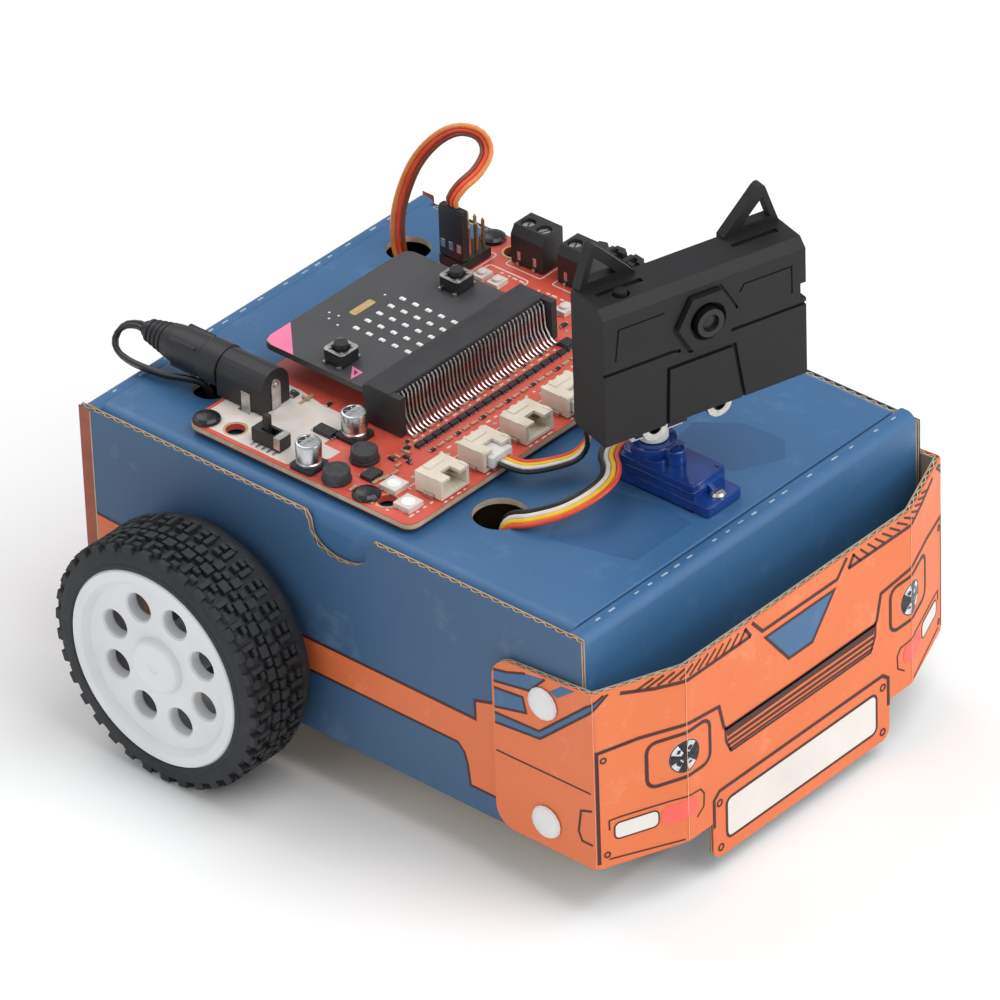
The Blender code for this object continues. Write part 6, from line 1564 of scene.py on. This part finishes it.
def makeServo():
    low, high = boxMm("servo_body")
    x0, x1 = low.x, high.x
    flangeLow, flangeHigh = 76.3, 78.8
    bodyFront, bodyBack = low.y + servoEar, high.y - servoEar
    top = 83.0
    bm = bmesh.new()
    addPrism(bm, roundRect((x0 + 0.2, bodyFront), (x1 - 0.2, bodyBack), 0.8), "z", low.z, top)
    # Flange with its two screw ears and gussets.
    addPrism(bm, roundRect((x0, low.y), (x1, high.y), 1.0), "z", flangeLow, flangeHigh)
    for sign, edge in ((-1, bodyFront), (1, bodyBack)):
        addPrism(bm, [(edge - sign * 0.1, flangeHigh - 0.1), (edge + sign * 3.0, flangeHigh - 0.1),
                      (edge - sign * 0.1, flangeHigh + 2.6)], "x", (x0 + x1) / 2 - 0.6, (x0 + x1) / 2 + 0.6)
    centre = (servoShaft[0], servoShaft[1], 0)
    addCylinder(bm, centre, 5.9, top - 0.2, 87.0, steps=48, chamfer=0.35)
    addCylinder(bm, (centre[0], centre[1] - 6.6, 0), 2.6, top - 0.2, 86.8, steps=32, chamfer=0.3)
    addCylinder(bm, (centre[0], centre[1] - 6.6, 0), 1.1, 86.7, 87.0, steps=16)
    # Lid seam and end ribs of the case.
    for z in (top - 2.2, 66.0):
        addPrism(bm, roundRect((x0 + 0.06, bodyFront - 0.08), (x1 - 0.06, bodyBack + 0.08), 0.8), "z", z,
                 z + 0.35)
    for x in (x0 + 1.3, x1 - 1.3):
        for y in (bodyFront + 1.3, bodyBack - 1.3):
            addCylinder(bm, (x, y, 0), 0.8, top - 0.1, top + 0.25, steps=14)
    # Stepped shoulder that carries the shaft's tower.
    addPrism(bm, roundRect((x0 + 0.45, servoShaft[1] - 6.2), (x1 - 0.45, bodyBack - 0.3), 2.4), "z",
             top - 0.2, top + 1.6)
    makePiece("servo_case", bm, [clearBlue], "lid", "clear_blue_abs", ("servo_body",), bevelMm=0.15,
              smoothDegrees=30)
    bm = bmesh.new()
    # Gears, motor and circuit that show dimly through the case.
    middleX = (x0 + x1) / 2
    inside = bmesh.new()
    addCylinder(inside, (servoShaft[0], servoShaft[1], 0), 4.4, top - 1.6, top + 1.4, steps=32, index=0)
    addCylinder(inside, (servoShaft[0], servoShaft[1] - 6.6, 0), 1.9, top - 1.8, top + 1.6, steps=24,
                index=0)
    addCylinder(inside, (middleX, bodyFront + 6.4, 0), 4.6, low.z + 2, top - 3.0, steps=32, index=1)
    addBox(inside, (x0 + 1.4, bodyFront + 1.2, low.z + 1), (x1 - 1.4, bodyFront + 2.2, top - 2.6), 2)
    makePiece("servo_gears", inside, [whiteNylon, nickel, mouldedBlack], "lid", "white_nylon")
    for y in (low.y + 2.3, high.y - 2.3):
        addTurned(bm, [(1.9, 0.0), (1.9, 0.5), (1.4, 1.1), (0, 1.3)], ((x0 + x1) / 2, y, flangeHigh),
                  steps=20)
        slot = [((x0 + x1) / 2 - 1.2, y - 0.2), ((x0 + x1) / 2 + 1.2, y - 0.2),
                ((x0 + x1) / 2 + 1.2, y + 0.2),
                ((x0 + x1) / 2 - 1.2, y + 0.2)]
        addPrism(bm, slot, "z", flangeHigh + 1.2, flangeHigh + 1.34, 1)
    makePiece("servo_screws", bm, [nickel, mouldedBlack], "lid", "polished_steel")


def makeCameraCase():
    left, right, front, back = -23.7, 31.3, -17.5, -4.0
    low, high = 102.0, 138.6
    middle = 3.8
    chamfer = 2.2
    bm = bmesh.new()
    outline = [(front, low + 0.7), (front + 0.5, low), (back - 0.8, low), (back, low + 0.8),
               (back, high - 0.9),
               (back - 0.9, high), (front + chamfer, high), (front, high - chamfer)]
    addPrism(bm, outline, "x", left, right)
    case = makePiece("camera_silicone_case", bm, [silicone], "camera_head", "black_silicone",
                     ("camera_case",),
                     matrix=toHead, smoothDegrees=30)

    def addSolid(operation, build, *values, **named):
        bm = bmesh.new()
        build(bm, *values, **named)
        combine(case, bm, operation, matrix=toHead)

    def groove(points, width, depth, closed=False):
        addSolid("DIFFERENCE", addStroke, points, width, "y", front - 2, front + depth, closed)

    # Waist groove that runs out to a notch at the right end.
    groove([(left - 1, 121.6), (-4.6, 121.6), (-3.0, 121.0)], 0.9, 0.7)
    groove([(10.8, 121.6), (right + 1, 121.6)], 0.9, 0.7)
    addSolid("DIFFERENCE", addBox, (right - 1.5, front - 1, 123.0), (right + 1, back + 1, 127.2))
    # Raised hexagon with a deep ring round the lens.
    lensZ = 127.3
    hexagon = arcPoints((middle, lensZ), 8.0, 0, 300, 5)
    addSolid("UNION", addPrism, hexagon, "y", front - 1.2, front + 1.0)
    groove(arcPoints((middle, lensZ), 8.5, 0, 300, 5), 0.8, 0.6, True)

    sleeve = [(5.0, 1.4), (3.9, -0.6), (3.9, -3.5), (0, -3.5), (0, 3.0), (5.0, 3.0)]
    addSolid("DIFFERENCE", addTurned, sleeve, (middle, front, lensZ), (0, -1, 0), 40)
    # Lower trapezoid panel's deep groove, and the two shallow upper panels.
    groove([(-7.0, low - 1), (-6.4, 117.4), (11.6, 117.4), (14.2, low - 1)], 1.0, 0.9)
    groove([(-20.6, 124.6), (-19.6, 132.8), (-7.2, 132.8)], 0.5, 0.3)
    groove([(27.4, 125.4), (27.4, 132.8), (14.4, 132.8), (13.2, 131.0)], 0.5, 0.3)
    # Ears: hollow triangles standing at the back edge.
    for sign in (-1, 1):
        outer = [(middle + sign * 12.0, high - 1), (middle + sign * 27.0, high - 1),
                 (middle + sign * 27.0, high + 0.6),
                 (middle + sign * 23.6, high + 10.4), (middle + sign * 23.0, high + 10.8),
                 (middle + sign * 22.2, high + 10.7), (middle + sign * 21.5, high + 10.2),
                 (middle + sign * 12.0, high + 0.5)]
        hole = [(middle + sign * 16.8, high + 1.8), (middle + sign * 24.9, high + 1.8),
                (middle + sign * 22.9, high + 7.9)]
        addSolid("UNION", addPrism, outer, "y", back - 3.0, back - 0.02)
        addSolid("DIFFERENCE", addPrism, hole, "y", back - 5.0, back + 1.0)
        spot = middle + sign * 18.4
        addSolid("DIFFERENCE", addBox, (spot - 6.2, -11.0, high - 0.8), (spot + 6.2, -9.4, high + 1))
    # Well of the button, and the bottom slot that the board's ring lugs come out of.
    addSolid("DIFFERENCE", addCylinder, (-15.6, -12.5, 0), 2.1, high - 3, high + 1, steps=24)
    addSolid("DIFFERENCE", addBox, (-14.0, front + 2.0, low - 1), (14.0, front + 4.4, low + 4.0))
    soft = case.modifiers.new("softEdges", "BEVEL")
    soft.width = 0.00045
    soft.segments = 2
    soft.limit_method = "ANGLE"
    soft.angle_limit = math.radians(30)
    soft.use_clamp_overlap = True
    case.data.shade_smooth()
    case.data.set_sharp_from_angle(angle=math.radians(30))


def makeLugs():
    # Tinned rings and printed marks on the strip of camera board that shows below the case.
    bm = bmesh.new()
    plane = -17.5 + 2.3
    for x in (-9.0, 8.6):
        for y in (plane - 0.1, plane + 1.5):
            addTurned(bm, [(3.4, 0.0), (3.4, 0.2), (1.8, 0.2), (1.8, 0.0)], (x, y, 101.2), (0, 1, 0), 32, 0,
                      True)
    draw = random.Random(9)
    for i in range(9):
        x = -3.8 + i * 0.95
        addBox(bm, (x, plane - 0.12, 101.4),
               (x + draw.uniform(0.4, 0.7), plane + 0.1, 102.1 + draw.uniform(0, 0.3)), 1)
    makePiece("camera_board_lugs", bm, [solder, ceramicTan], "camera_head", "polished_steel", matrix=toHead)


makeServo()
makeCameraCase()
makeLugs()

# ---- Pieces inside and below
print("stage: inside and below")
# Yellow ABS gearbox shells, gloss moulded. Cells in a printed, shrunk-on film. Drawn steel motor cans.
yellowAbs = makeMaterial("moulded_yellow_abs", ("#dfa512", "#efba26"), 9, 0.3, 0.01, (0.32, 0.46),
                         {"IOR": 1.53})
cellFilm = makeMaterial("shrunk_cell_film", ("#2b6a4a", "#347a57"), 10, 0.5, 0.006, (0.2, 0.32),
                        {"IOR": 1.5, "Coat Weight": 0.5})
ballSteel = makeMaterial("polished_ball_steel", ("#a9a9aa", "#c9c9ca"), 6, 0.4, 0.002, (0.08, 0.16),
                         {"Metallic": 1.0})


def makeInside():
    bm = bmesh.new()
    low, high = boxMm("battery_cells")
    count = 4
    pitch = 14.7
    mid = (low.y + high.y) / 2
    for i in range(count):
        x = (i - 1.5) * pitch
        sign = 1 if i % 2 else -1
        length = 49.5
        # Steel ends, shrunk film and the raised positive cap.
        profile = [(0, -length / 2 + 0.4), (6.4, -length / 2 + 0.4), (7.0, -length / 2 + 1.0),
                   (7.1, -length / 2 + 1.6)]
        addTurned(bm, profile + [(7.1, length / 2 - 2.4), (6.8, length / 2 - 1.6), (6.3, length / 2 - 1.4)],
                  (x, mid, 24.8), (0, sign, 0), 40, 0)
        addTurned(bm,
                  [(2.7, length / 2 - 1.5), (2.7, length / 2 - 0.2), (2.4, length / 2), (0, length / 2)],
                  (x, mid, 24.8), (0, sign, 0), 24, 1)
        addTurned(bm, [(7.16, length / 2 - 14.0), (7.16, length / 2 - 3.0), (7.05, length / 2 - 3.0),
                       (7.05, length / 2 - 14.0)], (x, mid, 24.8), (0, sign, 0), 40, 2, True)
    makePiece("cell_jackets", bm, [cellFilm, nickel, foilInk], "chassis", "cell_jacket", ("battery_cells",))
    bm = bmesh.new()
    for sign in (-1, 1):
        middle = sign * 49.5
        # Moulded ribs, case screws and a strap over the motor.
        inner = sign * 40.1
        for y, z in ((11.5, 24.5), (11.5, 40.5), (24.0, 32.5), (42.0, 40.5)):
            addTurned(bm, [(2.1, -0.05), (2.1, 0.5), (1.6, 0.9), (0, 0.9)], (inner, y, z), (-sign, 0, 0),
                      20, 1)
        addBox(bm, (middle - 9.6, 3.4, 22.4), (middle + 9.4, 6.6, 42.6), 0)
        addTurned(bm, [(3.4, 0.0), (3.4, 1.4), (1.2, 1.4), (1.2, 3.0), (0, 3.0)], (middle, -19.05, 32.5),
                  (0, -1, 0), 24, 1)
    straps = makePiece("gearbox_screws", bm, [yellowAbs, nickel], "chassis", "yellow_abs")
    for sign in (-1, 1):
        tool = bmesh.new()
        addCylinder(tool, (sign * 49.5, 0, 32.5), 10.05, 2.0, 8.0, (0, 1, 0), 32)
        combine(straps, tool)
    # Infra-red eyes and marks on the line sensor board.
    bm = bmesh.new()
    low, high = boxMm("line_sensor_board")
    for i in range(5):
        x = (i - 2) * 11.5
        for side in (-0.75, 0.75):
            addTurned(bm, [(0.55, 0), (0.55, 0.25), (0.3, 0.45), (0, 0.5)], (x + side, -73.0, 5.1),
                      (0, 0, -1), 16, 0)
        addBox(bm, (x - 0.9, -65.5, 6.5), (x + 0.9, -64.5, 7.02), 1)
        addBox(bm, (x - 0.8, -66.5, 8.58), (x + 0.8, -65.7, 9.1), 1)
    makePiece("sensor_eyes", bm, [lightLens, ceramicTan], "chassis", "dark_circuit_board")


makeInside()

finishes = {
    rivetNylon: [f"bumper_rivet_{s}_{v}" for s in ("right", "left") for v in ("upper", "lower")]
    + ["sensor_spacer_right", "sensor_spacer_left", "servo_horn", "output_shaft_right",
       "output_shaft_left"],
    blackRivet: [f"board_rivet_{a}_{b}" for a in ("rear", "front") for b in ("right", "left")],
    yellowAbs: ["gearbox_right", "gearbox_left"],
    nickel: ["motor_can_right", "motor_can_left"],
    ballSteel: ["caster_ball"],
    redMask: ["driver_board"],
    greyMask: ["controller_board"],
    darkMask: ["camera_board", "line_sensor_board"],
    softBlack: ["edge_connector"],
    mouldedBlack: ["battery_holder", "caster_housing", "tact_switch_a", "tact_switch_b", "tact_button_a",
                   "tact_button_b", "dc_jack", "slide_switch_body", "slide_switch_knob", "screw_terminal_1",
                   "screw_terminal_2", "camera_bracket"],
    creamNylon: ["port_1", "port_2", "port_3", "port_4"],
    whiteNylon: ["port_plug_2", "port_plug_4"],
    silicone: ["camera_button"],
    lensGlass: ["camera_lens"],
}
for finish, nodes in finishes.items():
    for node in nodes:
        coat(node, finish)
